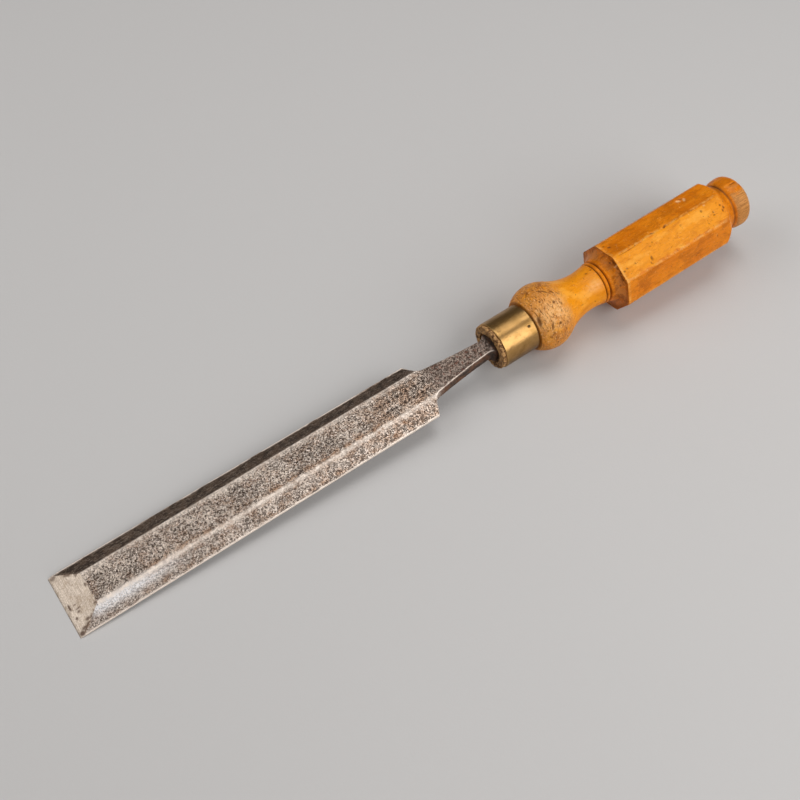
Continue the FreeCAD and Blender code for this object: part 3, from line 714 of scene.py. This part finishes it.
def groove_dirt_and_shade(x, turn, radius, rings, ragged):
    """Darkening in the cuts, behind the ferrule, round the button's neck and at the rim of the cove: painted
    shade in these hollows, strongest under the button's lip and round the lower side of the cove's rim.
    """
    in_cuts = hump(x, BEAD_X[0], 0.26) + hump(x, BEAD_X[1], 0.26) + 0.6 * hump(x, FERRULE_REAR_X, 0.2)
    at_neck = 0.7 * hump(x, BUTTON_FRONT[0] - 0.1, 0.5)
    # painted shade under the button's lip, on its upper side
    shade_under_lip = 0.55 * hump(x, BUTTON_NECK[0] + 0.3, 2.2) * hump(turn % math.tau, math.radians(70), 0.5)
    rim_edge = 0.4 * step(14.6, 16.4, radius) * plateau(x, 288.0, 288.8, OCTAGON_X, OCTAGON_X + 0.1)
    rim = hump(radius, 15.2, 0.9) * (x > COVE[1][0]) * (x < OCTAGON_X + 0.05)
    rim = rim * plateau(ragged, 98, 112, 142, 160) * step(-0.35, 0.15, cloud(rings, (1.5, 1.6, 1.6), 31, 2))
    return in_cuts + at_neck + shade_under_lip + rim_edge + 0.85 * rim


def streaks(x, radius, rings, ragged):
    """Where the button is worn to streaks: round its sides, and in the middle of the butt."""
    sides = step(363.0, 364.0, x) * plateau(ragged, 94, 120, 320, 350)
    sides = sides * (1 - step(BUTTON_WIDEST[0] + 2, BUTT_X, x) * (1 - step(5.5, 11.5, radius)))
    middle = 1 - step(5.5, 10.5, radius + 1.5 * cloud(rings, (5, 5, 5), 28, 2))
    return np.maximum(sides, 0.45 * step(BUTTON_WIDEST[0], BUTT_X, x) * middle)


def handle():
    """The turned and planed handle, with its bore, bruises and worn ridges."""
    front = front_profile()
    profile = np.array(front + turned_profile() + grip_profile())
    x, r = profile[:, :1], profile[:, 1:]
    turn = ring_turns()[None, :]
    ring = np.arange(len(profile))[:, None]
    square = r / np.maximum(np.abs(np.cos(turn)), np.abs(np.sin(turn)))
    planed = smooth_min(r, octagon_radius(turn), 0.35)
    radius = np.where(ring <= BORE_STEPS, square, np.where(x > COVE[0][0], planed, r))
    rings = np.stack([x + 0 * turn, radius * np.cos(turn), radius * np.sin(turn)], axis=-1)
    in_line = BORE_STEPS + SEAT_STEPS + WALL_STEPS
    rings[:in_line] = lean(rings[:in_line])

    outside = (ring >= len(front)) + 0 * turn
    end_ring = (x < FERRULE_FRONT_X - 0.02) * (r > SEAT_R - 0.05) + 0 * turn
    on_bulb = step(240.0, 241.0, x) * (1 - step(254.0, 260.5, x + 1.6 * cloud(rings, (6, 6, 6), 21, 2)))
    on_grip = plateau(x, OCTAGON_X - 0.1, OCTAGON_X + 0.2, 350.0, 357.0)
    front_edge = plateau(x, OCTAGON_X, OCTAGON_X + 0.1, OCTAGON_X + 0.8, OCTAGON_X + 2.0) + 0 * turn
    from_ridge = turned_from(8 * turn, 8 * (OCTAGON_ROLL + math.radians(22.5))) / 8
    ridge = hump(from_ridge * OCTAGON_RIDGE_R, 0, 0.55) * on_grip

    depth, dirt_and_shade, chipped = dent_masks(x, turn, np.maximum(radius, 5))
    lumps = 0.11 * cloud(rings, (30, 11, 11), 22, 2) * (1 - 0.8 * step(0, 1, hump(x, BEAD_MIDDLE_X, 1.8)))
    bruises = 0.3 * np.maximum(cloud(rings, (4.5, 3.2, 3.2), 23, 2) - 0.2, 0) * on_bulb
    nicks = 0.26 * np.maximum(cloud(rings, (5.5, 3, 3), 24, 2), 0) * np.maximum(ridge, 0.7 * front_edge)
    plane_marks = 0.05 * cloud(rings, (14, 3.5, 3.5), 25, 2) * on_grip
    frayed = 0.22 * cloud(rings, (1.6, 2.2, 2.2), 26) + 0.25 * cloud(rings, (3, 3.6, 3.6), 27, 2)
    height = (lumps - bruises - nicks + plane_marks - depth) * outside + frayed * end_ring
    rings += grid_normals(rings) * height[..., None]

    ragged = np.degrees(turn + 0.35 * cloud(rings, (5, 3, 3), 29)) % 360
    groove_shade = groove_dirt_and_shade(x, turn, radius, rings, ragged)
    # painted highlight: the flat of the grip that faces the right softbox is painted lighter and more golden
    from_lit_flat = np.abs(turned_from(turn, OCTAGON_ROLL + math.radians(135)))
    from_lit_flat = from_lit_flat + 0.1 * cloud(rings, (4, 1.6, 1.6), 30, 3)
    lit_flat = 1 - step(math.radians(18), math.radians(23), from_lit_flat)
    # painted highlight: the side of the bulb and the waist that faces the camera and the right softbox is
    # painted pale cream
    from_lit_side = turned_from(turn, math.radians(123))
    painted_highlight_waist = 0.75 * hump(x, 277.5, 4.2) * hump(from_lit_side, 0, 0.24) * (x < BEAD_X[0] - 0.5)
    masks = {
        # dirt in the dents, and painted shade in the cuts, round the button's neck and at the cove's rim
        "dirt_and_shade": np.clip(np.maximum(dirt_and_shade, groove_shade), 0, 1) * outside,
        "ridge": np.clip(ridge + 0.9 * front_edge, 0, 1),
        "bulb": on_bulb,
        # golden tone on the turned front, and a painted highlight on the grip's lit flat
        "golden_and_lit_flat": np.clip(np.maximum(1 - step(276.0, 285.0, x), lit_flat * on_grip), 0, 1),
        "chipped": np.clip(chipped, 0, 1),
        "cove": plateau(x, 285.2, 286.6, OCTAGON_X - 0.05, OCTAGON_X + 0.05) + 0 * turn,
        "painted_highlight": np.clip(on_bulb * hump(from_lit_side, 0, 0.42) + painted_highlight_waist, 0, 1),
        "end_grain": end_ring,
        "streaked": streaks(x, radius, rings, ragged),
        # painted shade: the bore and the seat round the bolster
        "inside": 1 - outside - end_ring,
    }
    return skin("boxwood_handle", rings, masks)


# ---- materials -------------------------------------------

class Finish:
    """A material's node tree, with one short call for each kind of node that the finishes use."""

    def __init__(self, name):
        self.material = bpy.data.materials.new(name)
        self.material.use_nodes = True
        self.tree = self.material.node_tree
        self.own = self.node("ShaderNodeAttribute", "Vector", {}, attribute_name="own")
        self.colour = None

    def feed(self, inputs, values):
        """Links each of a node's inputs, or sets it where the value is a constant."""
        for key, value in values.items():
            if isinstance(value, bpy.types.NodeSocket):
                self.tree.links.new(value, inputs[key])
            else:
                inputs[key].default_value = value

    def node(self, kind, output, values, **settings):
        """The output of a new node with these inputs and settings."""
        node = self.tree.nodes.new(kind)
        for key, value in settings.items():
            setattr(node, key, value)
        self.feed(node.inputs, values)
        return node.outputs[output]

    def masks(self, *names):
        """The piece's point attributes of these names."""
        return [self.node("ShaderNodeAttribute", "Fac", {}, attribute_name=name) for name in names]

    def noise(self, scale, detail, rough, distortion=0.0, stretch=None, offset=(0, 0, 0)):
        """Fractal noise from 0 to 1 over the piece's own millimetres, scaled along each axis and moved."""
        place = self.own
        if stretch:
            place = self.node("ShaderNodeMapping", "Vector",
                              {"Vector": place, "Scale": stretch, "Location": offset})
        return self.node("ShaderNodeTexNoise", "Fac", {"Vector": place, "Scale": scale, "Detail": detail,
                                                       "Roughness": rough, "Distortion": distortion})

    def band(self, value, low, high, out_low=0.0, out_high=1.0):
        """A smooth step from out_low, at low, to out_high, at high."""
        return self.node("ShaderNodeMapRange", "Result", {"Value": value, "From Min": low, "From Max": high,
                                                          "To Min": out_low, "To Max": out_high},
                         interpolation_type="SMOOTHSTEP")

    def chain(self, operation, values):
        """Values multiplied or added one after another, each result kept from 0 to 1."""
        result = values[0]
        for value in values[1:]:
            inputs = {0: result, 1: value}
            result = self.node("ShaderNodeMath", 0, inputs, operation=operation, use_clamp=True)
        return result

    def times(self, *values):
        """The product of the values."""
        return self.chain("MULTIPLY", values)

    def plus(self, *values):
        """The sum of the values, at most 1."""
        return self.chain("ADD", values)

    def rest(self, value):
        """What is left of 1."""
        return self.node("ShaderNodeMath", 0, {0: 1.0, 1: value}, operation="SUBTRACT")

    def mixed(self, factor, a, b):
        """A number from a, at factor 0, to b, at factor 1."""
        return self.node("ShaderNodeMix", 0, {0: factor, 2: a, 3: b}, data_type="FLOAT")

    def blend(self, factor, a, b):
        """A colour from a, at factor 0, to b, at factor 1."""
        a, b = ((*value, 1.0) if isinstance(value, tuple) else value for value in (a, b))
        return self.node("ShaderNodeMix", 2, {0: factor, 6: a, 7: b}, data_type="RGBA")

    def paint(self, colour, *densities):
        """Lays a colour over what is there already, as densely as the product of these says."""
        self.colour = self.blend(self.times(*densities), self.colour, colour)

    def bump(self, height, distance, under=None):
        """A bump of this distance in metres, over the one under it."""
        values = {"Distance": distance, "Height": height}
        if under is not None:
            values["Normal"] = under
        return self.node("ShaderNodeBump", "Normal", values)

    def surface(self, rough, normal, metal=0.0, specular=0.5):
        """Joins everything to the shader and gives the finished material."""
        shader = next(n for n in self.tree.nodes if n.type == "BSDF_PRINCIPLED")
        self.feed(shader.inputs, {"Base Color": self.colour, "Metallic": metal, "Roughness": rough,
                                  "Normal": normal, "Specular IOR Level": specular})
        return self.material


# Linear red, green and blue; where there are two, the finish wanders between them.
STEEL = {
    "bare": ((0.62, 0.51, 0.42), (0.87, 0.735, 0.62)),
    "aged": (0.28, 0.22, 0.175),
    "right bevel": (0.60, 0.495, 0.42),
    "brown film": (0.43, 0.275, 0.185),
    "ground": ((0.46, 0.375, 0.30), (0.69, 0.59, 0.49)),
    "ground film": (0.38, 0.295, 0.215),
    "ground pits": (0.26, 0.19, 0.14),
    "polish_and_reflection": (0.97, 0.94, 0.94),
    "bright grains": (1.0, 0.885, 0.80),
    "stain": (0.46, 0.26, 0.145),
    # painted highlights, with wear, on ridges and edges
    "worn and highlighted edges": (1.0, 0.87, 0.76),
    # scale: dark scale, also standing in as painted shade on the left bevel
    "scale": ((0.040, 0.024, 0.015), (0.16, 0.110, 0.078)),
    "thin scale": (0.34, 0.26, 0.20),
    "neck": ((0.30, 0.225, 0.185), (0.075, 0.050, 0.042)),
    "pits": ((0.040, 0.030, 0.026), (0.125, 0.072, 0.046)),
    "red rust": (0.22, 0.075, 0.045),
    "bolster rust and shade": ((0.040, 0.025, 0.018), (0.15, 0.062, 0.028)),
    "spots": ((0.33, 0.145, 0.055), (0.105, 0.048, 0.026)),
    "marks": (0.055, 0.033, 0.022),
}
BRASS = {
    "tube": ((0.46, 0.262, 0.092), (0.33, 0.178, 0.050)),
    "turned lines": (0.36, 0.205, 0.072),
    "painted_shade_bands": (0.13, 0.074, 0.026),
    "rim": (0.60, 0.37, 0.14),
    "specks": (0.22, 0.14, 0.06),
    "punch": (0.07, 0.045, 0.025),
}
WOOD = {
    "oiled": ((0.80, 0.225, 0.004), (0.68, 0.170, 0.002)),
    "golden_and_lit_flat": (0.88, 0.315, 0.008),
    "grain": (0.92, 0.36, 0.025),
    "figure": (0.52, 0.125, 0.003),
    "blotches": (0.46, 0.115, 0.002),
    "grime": (0.27, 0.070, 0.004),
    "scrapes": (0.93, 0.50, 0.16),
    "flecks": (0.36, 0.095, 0.006),
    "pale patches": (0.98, 0.44, 0.055),
    "bruise": (0.66, 0.272, 0.062),
    "reddened": (0.40, 0.110, 0.018),
    "painted_highlight": (0.97, 0.545, 0.215),
    "bare specks": (0.98, 0.60, 0.26),
    "scuffs": (0.21, 0.055, 0.009),
    "cove tan": (0.60, 0.24, 0.065),
    "cove stain": (0.24, 0.055, 0.005),
    "button": (0.62, 0.295, 0.088),
    "button streaks": (0.30, 0.115, 0.022),
    "worn ridges": (0.95, 0.54, 0.15),
    "end grain": ((0.10, 0.042, 0.015), (0.54, 0.30, 0.12)),
    "specks": (0.13, 0.045, 0.012),
    "dirt_and_shade": (0.10, 0.032, 0.008),
    "chipped": (0.92, 0.58, 0.27),
    "inside": (0.12, 0.07, 0.035),
}
PAPER = ((0.56, 0.545, 0.535), (0.59, 0.575, 0.565))


def steel():
    """Old tool steel: bright where worn, densely pitted, browned along the ridges and by the shoulders, with
    painted highlights on the edges and on the right bevel near the cutting edge, and painted shade on the
    left bevel, the bolster and the neck's flanks.
    """
    f = Finish("old_pitted_steel")
    ridge, side, left, right, neck, bevel_end = f.masks("ridge", "side", "left", "right", "neck", "bevel_end")
    polish_and_reflection, stain, spots, bolster, marks = f.masks("polish_and_reflection", "stain", "spots", "bolster", "marks")
    dots = f.band(f.noise(1.40, 4.0, 0.72), 0.530, 0.552)
    clusters = f.band(f.noise(0.75, 6.0, 0.74, 0.3), 0.50, 0.60)
    patches = f.band(f.noise(0.10, 4.0, 0.6), 0.38, 0.62)
    warm = f.noise(0.23, 4.0, 0.6)
    drawn = f.noise(1.0, 3.0, 0.5, 0.0, (0.12, 1.6, 1.6))
    grind = f.noise(1.0, 3.0, 0.6, 0.0, (3.2, 0.16, 0.4))
    worn = f.times(ridge, f.band(f.noise(0.5, 3.0, 0.6), 0.36, 0.60, 1.0, 0.35))

    # where the pits are, and the bright grains between them
    calm = f.plus(f.times(ridge, 0.78), f.times(bevel_end, 0.95), f.times(polish_and_reflection, 0.40), side,
                  f.times(right, 0.12))
    many, few = f.mixed(patches, 0.86, 1.0), f.mixed(patches, 0.40, 0.78)
    pitted = f.times(f.plus(f.times(dots, many), f.times(clusters, few)), f.rest(calm))
    dulled = f.plus(f.times(neck, 0.6), left, f.times(bevel_end, 0.8))
    grains = f.times(f.band(f.noise(2.1, 2.0, 0.5), 0.54, 0.61), f.rest(dulled))

    # the forged metal under its brown film
    f.colour = f.blend(f.band(drawn, 0.35, 0.7), *STEEL["bare"])
    f.paint(STEEL["aged"], patches, 0.55)
    f.paint(STEEL["right bevel"], right, 0.5)
    f.paint(STEEL["brown film"], f.band(warm, 0.45, 0.62), 0.6)

    # the ground end bevel
    ground = f.blend(f.band(grind, 0.35, 0.65), *STEEL["ground"])
    ground = f.blend(f.band(warm, 0.46, 0.62, 0.0, 0.6), ground, STEEL["ground film"])
    ground = f.blend(f.times(dots, 0.3), ground, STEEL["ground pits"])
    f.paint(ground, bevel_end, 0.92)

    # bright wear, with painted reflections and highlights
    f.paint(STEEL["polish_and_reflection"], polish_and_reflection)
    f.paint(STEEL["bright grains"], grains, 0.8)
    f.paint(STEEL["stain"], stain, f.band(warm, 0.36, 0.56, 0.15, 0.8))
    # painted highlights, with wear, along the ridges and edges
    f.paint(STEEL["worn and highlighted edges"], f.plus(worn, side))

    # dark scale and painted shade on the left bevel, the neck, pits and rust, with painted shade on the
    # bolster and the neck's flanks
    # the left bevel is painted dark: scale, and painted shade where it faces away from the lights
    scale = f.blend(f.band(warm, 0.42, 0.60), *STEEL["scale"])
    thin = f.band(f.noise(0.8, 4.0, 0.7, 0.0, (0.5, 1.6, 1.6), (3, 1, 7)), 0.48, 0.60, 0.0, 0.85)
    f.paint(f.blend(thin, scale, STEEL["thin scale"]), left, f.mixed(side, 0.95, 0.0))
    f.paint(f.blend(clusters, *STEEL["neck"]), neck, f.mixed(side, 0.8, 0.0))
    f.paint(f.blend(warm, *STEEL["pits"]), pitted)
    f.paint(STEEL["red rust"], neck, f.band(f.noise(0.55, 3.0, 0.6), 0.54, 0.68), 0.6)
    # painted shade on the bolster's flares and the neck's flanks, with rust on the bolster's rim
    f.paint(f.blend(f.band(warm, 0.42, 0.6), *STEEL["bolster rust and shade"]), bolster, 0.92)
    f.paint(f.blend(bevel_end, *STEEL["spots"]), spots, 0.9)
    f.paint(STEEL["marks"], marks, 0.95)

    dull = f.plus(pitted, spots, bolster, marks, f.times(neck, 0.35))
    rough = f.mixed(dull, f.mixed(bevel_end, f.band(drawn, 0.3, 0.7, 0.40, 0.52), 0.46), 0.75)
    scratches = f.noise(1.6, 2.0, 0.5, 0.0, (0.9, 0.07, 0.07), (5, 2, 1))
    normal = f.bump(f.rest(pitted), 0.00016)
    normal = f.bump(f.times(grind, f.plus(bevel_end, 0.2)), 0.00007, normal)
    normal = f.bump(scratches, 0.00003, normal)
    normal = f.bump(f.noise(0.9, 4.0, 0.6), 0.00008, normal)
    # less metallic where highlights and reflections are painted, so the painted colour shows
    painted_highlight = f.plus(f.times(polish_and_reflection, 0.72), f.times(f.plus(worn, side), 0.5))
    metal = f.times(f.mixed(dull, 0.88, 0.3), f.rest(f.plus(bolster, painted_highlight)))
    return f.surface(rough, normal, metal, 0.25)


def brass():
    """Drawn brass tube, dulled to olive and worn bright on its crown, darkened by two bands of painted shade
    round it.
    """
    f = Finish("aged_brass")
    painted_shade_bands, rim, punch = f.masks("painted_shade_bands", "rim", "punch")
    turned = f.noise(1.0, 4.0, 0.6, 0.0, (3.0, 0.12, 0.12))
    patina = f.noise(0.16, 4.0, 0.6, 0.4)
    specks = f.band(f.noise(1.1, 3.0, 0.6), 0.60, 0.70)
    scratches = f.band(f.noise(1.3, 2.0, 0.5, 0.0, (0.10, 1.5, 1.5)), 0.6, 0.68)
    f.colour = f.blend(f.band(patina, 0.4, 0.68), *BRASS["tube"])
    f.paint(BRASS["turned lines"], turned, 0.35)
    # painted shade: the tube is darkened in two bands round it, where its reflections look dark
    f.paint(BRASS["painted_shade_bands"], painted_shade_bands)
    f.paint(BRASS["rim"], rim, 0.6)
    f.paint(BRASS["specks"], specks, 0.5)
    f.paint(BRASS["punch"], punch, 0.9)
    rough = f.plus(f.band(patina, 0.35, 0.7, 0.30, 0.37), f.times(specks, 0.2))
    return f.surface(rough, f.bump(scratches, 0.00002, f.bump(turned, 0.00003)), 1.0)


def boxwood():
    """Polished boxwood: deep orange with long grain, pale on worn ridges, bruised and greyed on the bulb,
    with painted highlights on the bulb, the waist and one flat of the grip, and painted shade in the cuts and
    the bore.
    """
    f = Finish("worn_boxwood")
    golden_and_lit_flat, ridge, bulb_worn, painted_highlight, cove = f.masks("golden_and_lit_flat", "ridge", "bulb", "painted_highlight", "cove")
    end_grain, streaked, inside, dirt_and_shade, chipped = f.masks("end_grain", "streaked", "inside", "dirt_and_shade", "chipped")
    grain = f.noise(1.0, 5.0, 0.6, 0.3, (0.035, 1.25, 1.25))
    figure = f.noise(0.55, 4.0, 0.6, 0.8, (0.35, 1.0, 1.0))
    broad = f.noise(0.055, 3.0, 0.5)
    flecks = f.band(f.noise(1.25, 2.0, 0.5, 0.0, (0.45, 1.8, 1.8)), 0.66, 0.74)
    specks = f.band(f.noise(0.85, 2.0, 0.5), 0.70, 0.76)

    # the oiled wood, its grain, and a painted highlight on the grip's lit flat
    f.colour = f.blend(f.band(broad, 0.35, 0.68), *WOOD["oiled"])
    f.paint(WOOD["golden_and_lit_flat"], golden_and_lit_flat, 0.85)
    f.paint(WOOD["grain"], f.band(grain, 0.35, 0.72), 0.3)
    f.paint(WOOD["figure"], f.band(figure, 0.48, 0.70), 0.45)

    # blotches, grime, scrapes and pale patches
    blotches = f.band(f.noise(0.20, 5.0, 0.65, 0.5, (0.6, 1.0, 1.0), (4, 4, 1)), 0.44, 0.62)
    f.paint(WOOD["blotches"], blotches, f.mixed(golden_and_lit_flat, 0.62, 0.20))
    grime = f.band(f.noise(1.1, 6.0, 0.75, 0.5, (0.8, 1.0, 1.0), (2, 9, 4)), 0.55, 0.68)
    f.paint(WOOD["grime"], grime, f.plus(f.times(ridge, 0.6), f.mixed(golden_and_lit_flat, 0.58, 0.24)))
    scrapes = f.band(f.noise(1.3, 2.0, 0.5, 0.5, (1.6, 0.5, 0.5), (1, 3, 8)), 0.66, 0.72)
    f.paint(WOOD["scrapes"], scrapes, 0.45)
    f.paint(WOOD["flecks"], flecks, 0.4)
    pale = f.band(f.noise(0.15, 4.0, 0.62, 0.0, (0.5, 1.0, 1.0), (7, 3, 5)), 0.50, 0.66)
    f.paint(WOOD["pale patches"], pale, golden_and_lit_flat, 0.6)

    # the bruised bulb, and a painted highlight on the bulb and the waist
    bruise = f.band(f.noise(0.30, 4.0, 0.65), 0.30, 0.62, 0.15, 0.80)
    f.paint(WOOD["bruise"], bulb_worn, bruise)
    reddened = f.band(f.noise(0.26, 4.0, 0.7, 0.0, (1, 1, 1), (2, 5, 9)), 0.46, 0.60)
    f.paint(WOOD["reddened"], bulb_worn, reddened, 0.52)
    # painted highlight on the bulb and the waist, on the side towards the right softbox
    f.paint(WOOD["painted_highlight"], painted_highlight, f.band(f.noise(0.45, 4.0, 0.65), 0.34, 0.60, 0.25, 0.85))
    bare_specks = f.band(f.noise(1.1, 3.0, 0.6, 0.0, (1, 1, 1), (9, 4, 2)), 0.58, 0.66)
    f.paint(WOOD["bare specks"], bulb_worn, bare_specks, 0.7)
    streaky = f.band(f.noise(1.8, 4.0, 0.6, 0.8, (1.1, 0.25, 0.25), (3, 7, 1)), 0.548, 0.61)
    pinpricks = f.band(f.noise(1.7, 3.0, 0.6), 0.58, 0.65)
    scuffs = f.times(bulb_worn, f.plus(streaky, f.times(pinpricks, 0.35)))
    f.paint(WOOD["scuffs"], scuffs, 0.74)

    # the cove, the button and the worn ridges
    tan = f.band(f.noise(0.16, 3.0, 0.6), 0.44, 0.58, 0.1, 0.6)
    f.paint(WOOD["cove tan"], cove, tan)
    stained = f.band(f.noise(0.22, 5.0, 0.62, 0.5, (0.7, 1.0, 1.0), (5, 2, 6)), 0.47, 0.62)
    f.paint(WOOD["cove stain"], cove, stained, 0.6)
    streaks_in_it = f.band(f.noise(1.0, 3.0, 0.6, 0.0, (0.05, 2.6, 2.6)), 0.42, 0.6)
    f.paint(WOOD["button"], streaked, 0.8)
    f.paint(WOOD["button streaks"], streaked, streaks_in_it, 0.7)
    worn = f.band(f.noise(0.42, 5.0, 0.72), 0.40, 0.62, 0.04, 0.55)
    f.paint(WOOD["worn ridges"], ridge, worn)

    # end grain, specks, dirt with painted shade in the grooves, and fresh chips
    years = f.band(f.noise(0.9, 4.0, 0.65, 0.5), 0.38, 0.60)
    f.paint(f.blend(years, *WOOD["end grain"]), end_grain)
    f.paint(WOOD["specks"], specks, 0.75)
    # dirt in the dents, and painted shade in the cuts, the groove round the button and the cove's rim
    f.paint(WOOD["dirt_and_shade"], dirt_and_shade, 0.9)
    f.paint(WOOD["chipped"], chipped, 0.85)
    # painted shade: the bore and the seat round the bolster are painted near black
    f.paint(WOOD["inside"], inside)

    dull = f.plus(f.times(bulb_worn, 0.5), end_grain, f.times(streaked, 0.5))
    rough = f.mixed(dull, f.band(figure, 0.3, 0.7, 0.27, 0.36), 0.58)
    normal = f.bump(grain, 0.00007)
    normal = f.bump(f.noise(0.8, 4.0, 0.6), 0.00006, normal)
    normal = f.bump(f.rest(f.plus(f.times(scuffs, 0.8), flecks, dirt_and_shade)), 0.00008, normal)
    return f.surface(rough, normal, specular=0.11)


def pale_paper():
    """Plain pale paper for the floor."""
    f = Finish("pale_paper")
    f.own = f.node("ShaderNodeTexCoord", "Object", {})
    f.colour = f.blend(f.noise(2.0, 3.0, 0.5), *PAPER)
    return f.surface(0.85, f.bump(f.noise(900.0, 3.0, 0.6), 0.00005), specular=0.25)


# ---- the scene -------------------------------------------

def place_pieces():
    """Builds the three pieces and puts each in place of its CAD node."""
    for build, finish, node, slot in ((blade, steel, "blade", "blade_steel"),
                                      (ferrule, brass, "ferrule", "ferrule_brass"),
                                      (handle, boxwood, "handle", "handle_boxwood")):
        piece = build()
        piece.data.materials.append(finish())
        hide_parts(node)
        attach(piece, "root")


def floor():
    """A wide plain floor at the height that the tool stands on."""
    reach = 4.0
    mesh = bpy.data.meshes.new("floor")
    z = cad_low[2]
    mesh.from_pydata([(-reach, -reach, z), (reach, -reach, z), (reach, reach, z), (-reach, reach, z)], [],
                     [(0, 1, 2, 3)])
    sheet = bpy.data.objects.new("floor", mesh)
    sheet.data.materials.append(pale_paper())
    bpy.context.scene.collection.objects.link(sheet)


def from_angle(azimuth, elevation, distance, centre):
    """A point seen from centre at this azimuth (0 is -Y, 90 is +X) and elevation in degrees."""
    a, e = math.radians(azimuth), math.radians(elevation)
    back = Vector((math.sin(a) * math.cos(e), -math.cos(a) * math.cos(e), math.sin(e)))
    return Vector(centre) + back * distance, back


# azimuth and elevation in degrees, width, height, power
SOFTBOXES = (("back_softbox", 124, 66, 0.62, 0.55, 4.0),
             ("right_softbox", 27, 35, 1.0, 1.0, 9.8),
             ("left_softbox", 233, 40, 0.9, 0.7, 4.0))
SOFTBOX_DISTANCE = 1.1


def softbox(name, azimuth, elevation, width, height, power):
    """A soft area light that faces the tool."""
    lamp = bpy.data.lights.new(name, "AREA")
    lamp.shape = "RECTANGLE"
    lamp.size, lamp.size_y = width, height
    lamp.energy = power
    box = bpy.data.objects.new(name, lamp)
    box.location, back = from_angle(azimuth, elevation, SOFTBOX_DISTANCE, (0, 0, 0.02))
    box.rotation_mode = "QUATERNION"
    box.rotation_quaternion = (-back).to_track_quat("-Z", "Y")
    bpy.context.scene.collection.objects.link(box)


def lighting():
    """Three softboxes and a dim room."""
    for name, azimuth, elevation, width, height, power in SOFTBOXES:
        softbox(name, azimuth, elevation, width, height, power)
    world = bpy.data.worlds.new("room")
    world.use_nodes = True
    background = world.node_tree.nodes["Background"]
    background.inputs["Color"].default_value = (0.80, 0.78, 0.76, 1)
    background.inputs["Strength"].default_value = 0.14
    bpy.context.scene.world = world


CAMERA_LENS = 51.3
CAMERA_PLACE = (-35.24, 56.34, 0.5129)  # azimuth and elevation in degrees, distance
CAMERA_ROLL = math.radians(0.56)
AIM_FORWARD, AIM_UP = 0.0188, 0.015  # from the tool's middle towards its edge, and up from the floor


def camera():
    """Looks down on the tool from its right, in front, with the blade to the lower left."""
    lens = bpy.data.cameras.new("camera")
    lens.lens = CAMERA_LENS
    lens.sensor_width = 36.0
    lens.clip_start = 0.01
    eye = bpy.data.objects.new("camera", lens)
    middle = (Vector(cad_low) + Vector(cad_high)) / 2
    aim = (middle.x - AIM_FORWARD, middle.y, cad_low[2] + AIM_UP)
    eye.location, back = from_angle(*CAMERA_PLACE, aim)
    eye.rotation_mode = "QUATERNION"
    roll = Matrix.Rotation(CAMERA_ROLL, 3, "Z").to_quaternion()
    eye.rotation_quaternion = (-back).to_track_quat("-Z", "Y") @ roll
    bpy.context.scene.collection.objects.link(eye)
    bpy.context.scene.camera = eye


bpy.context.scene.view_settings.view_transform = "Standard"
place_pieces()
floor()
lighting()
camera()
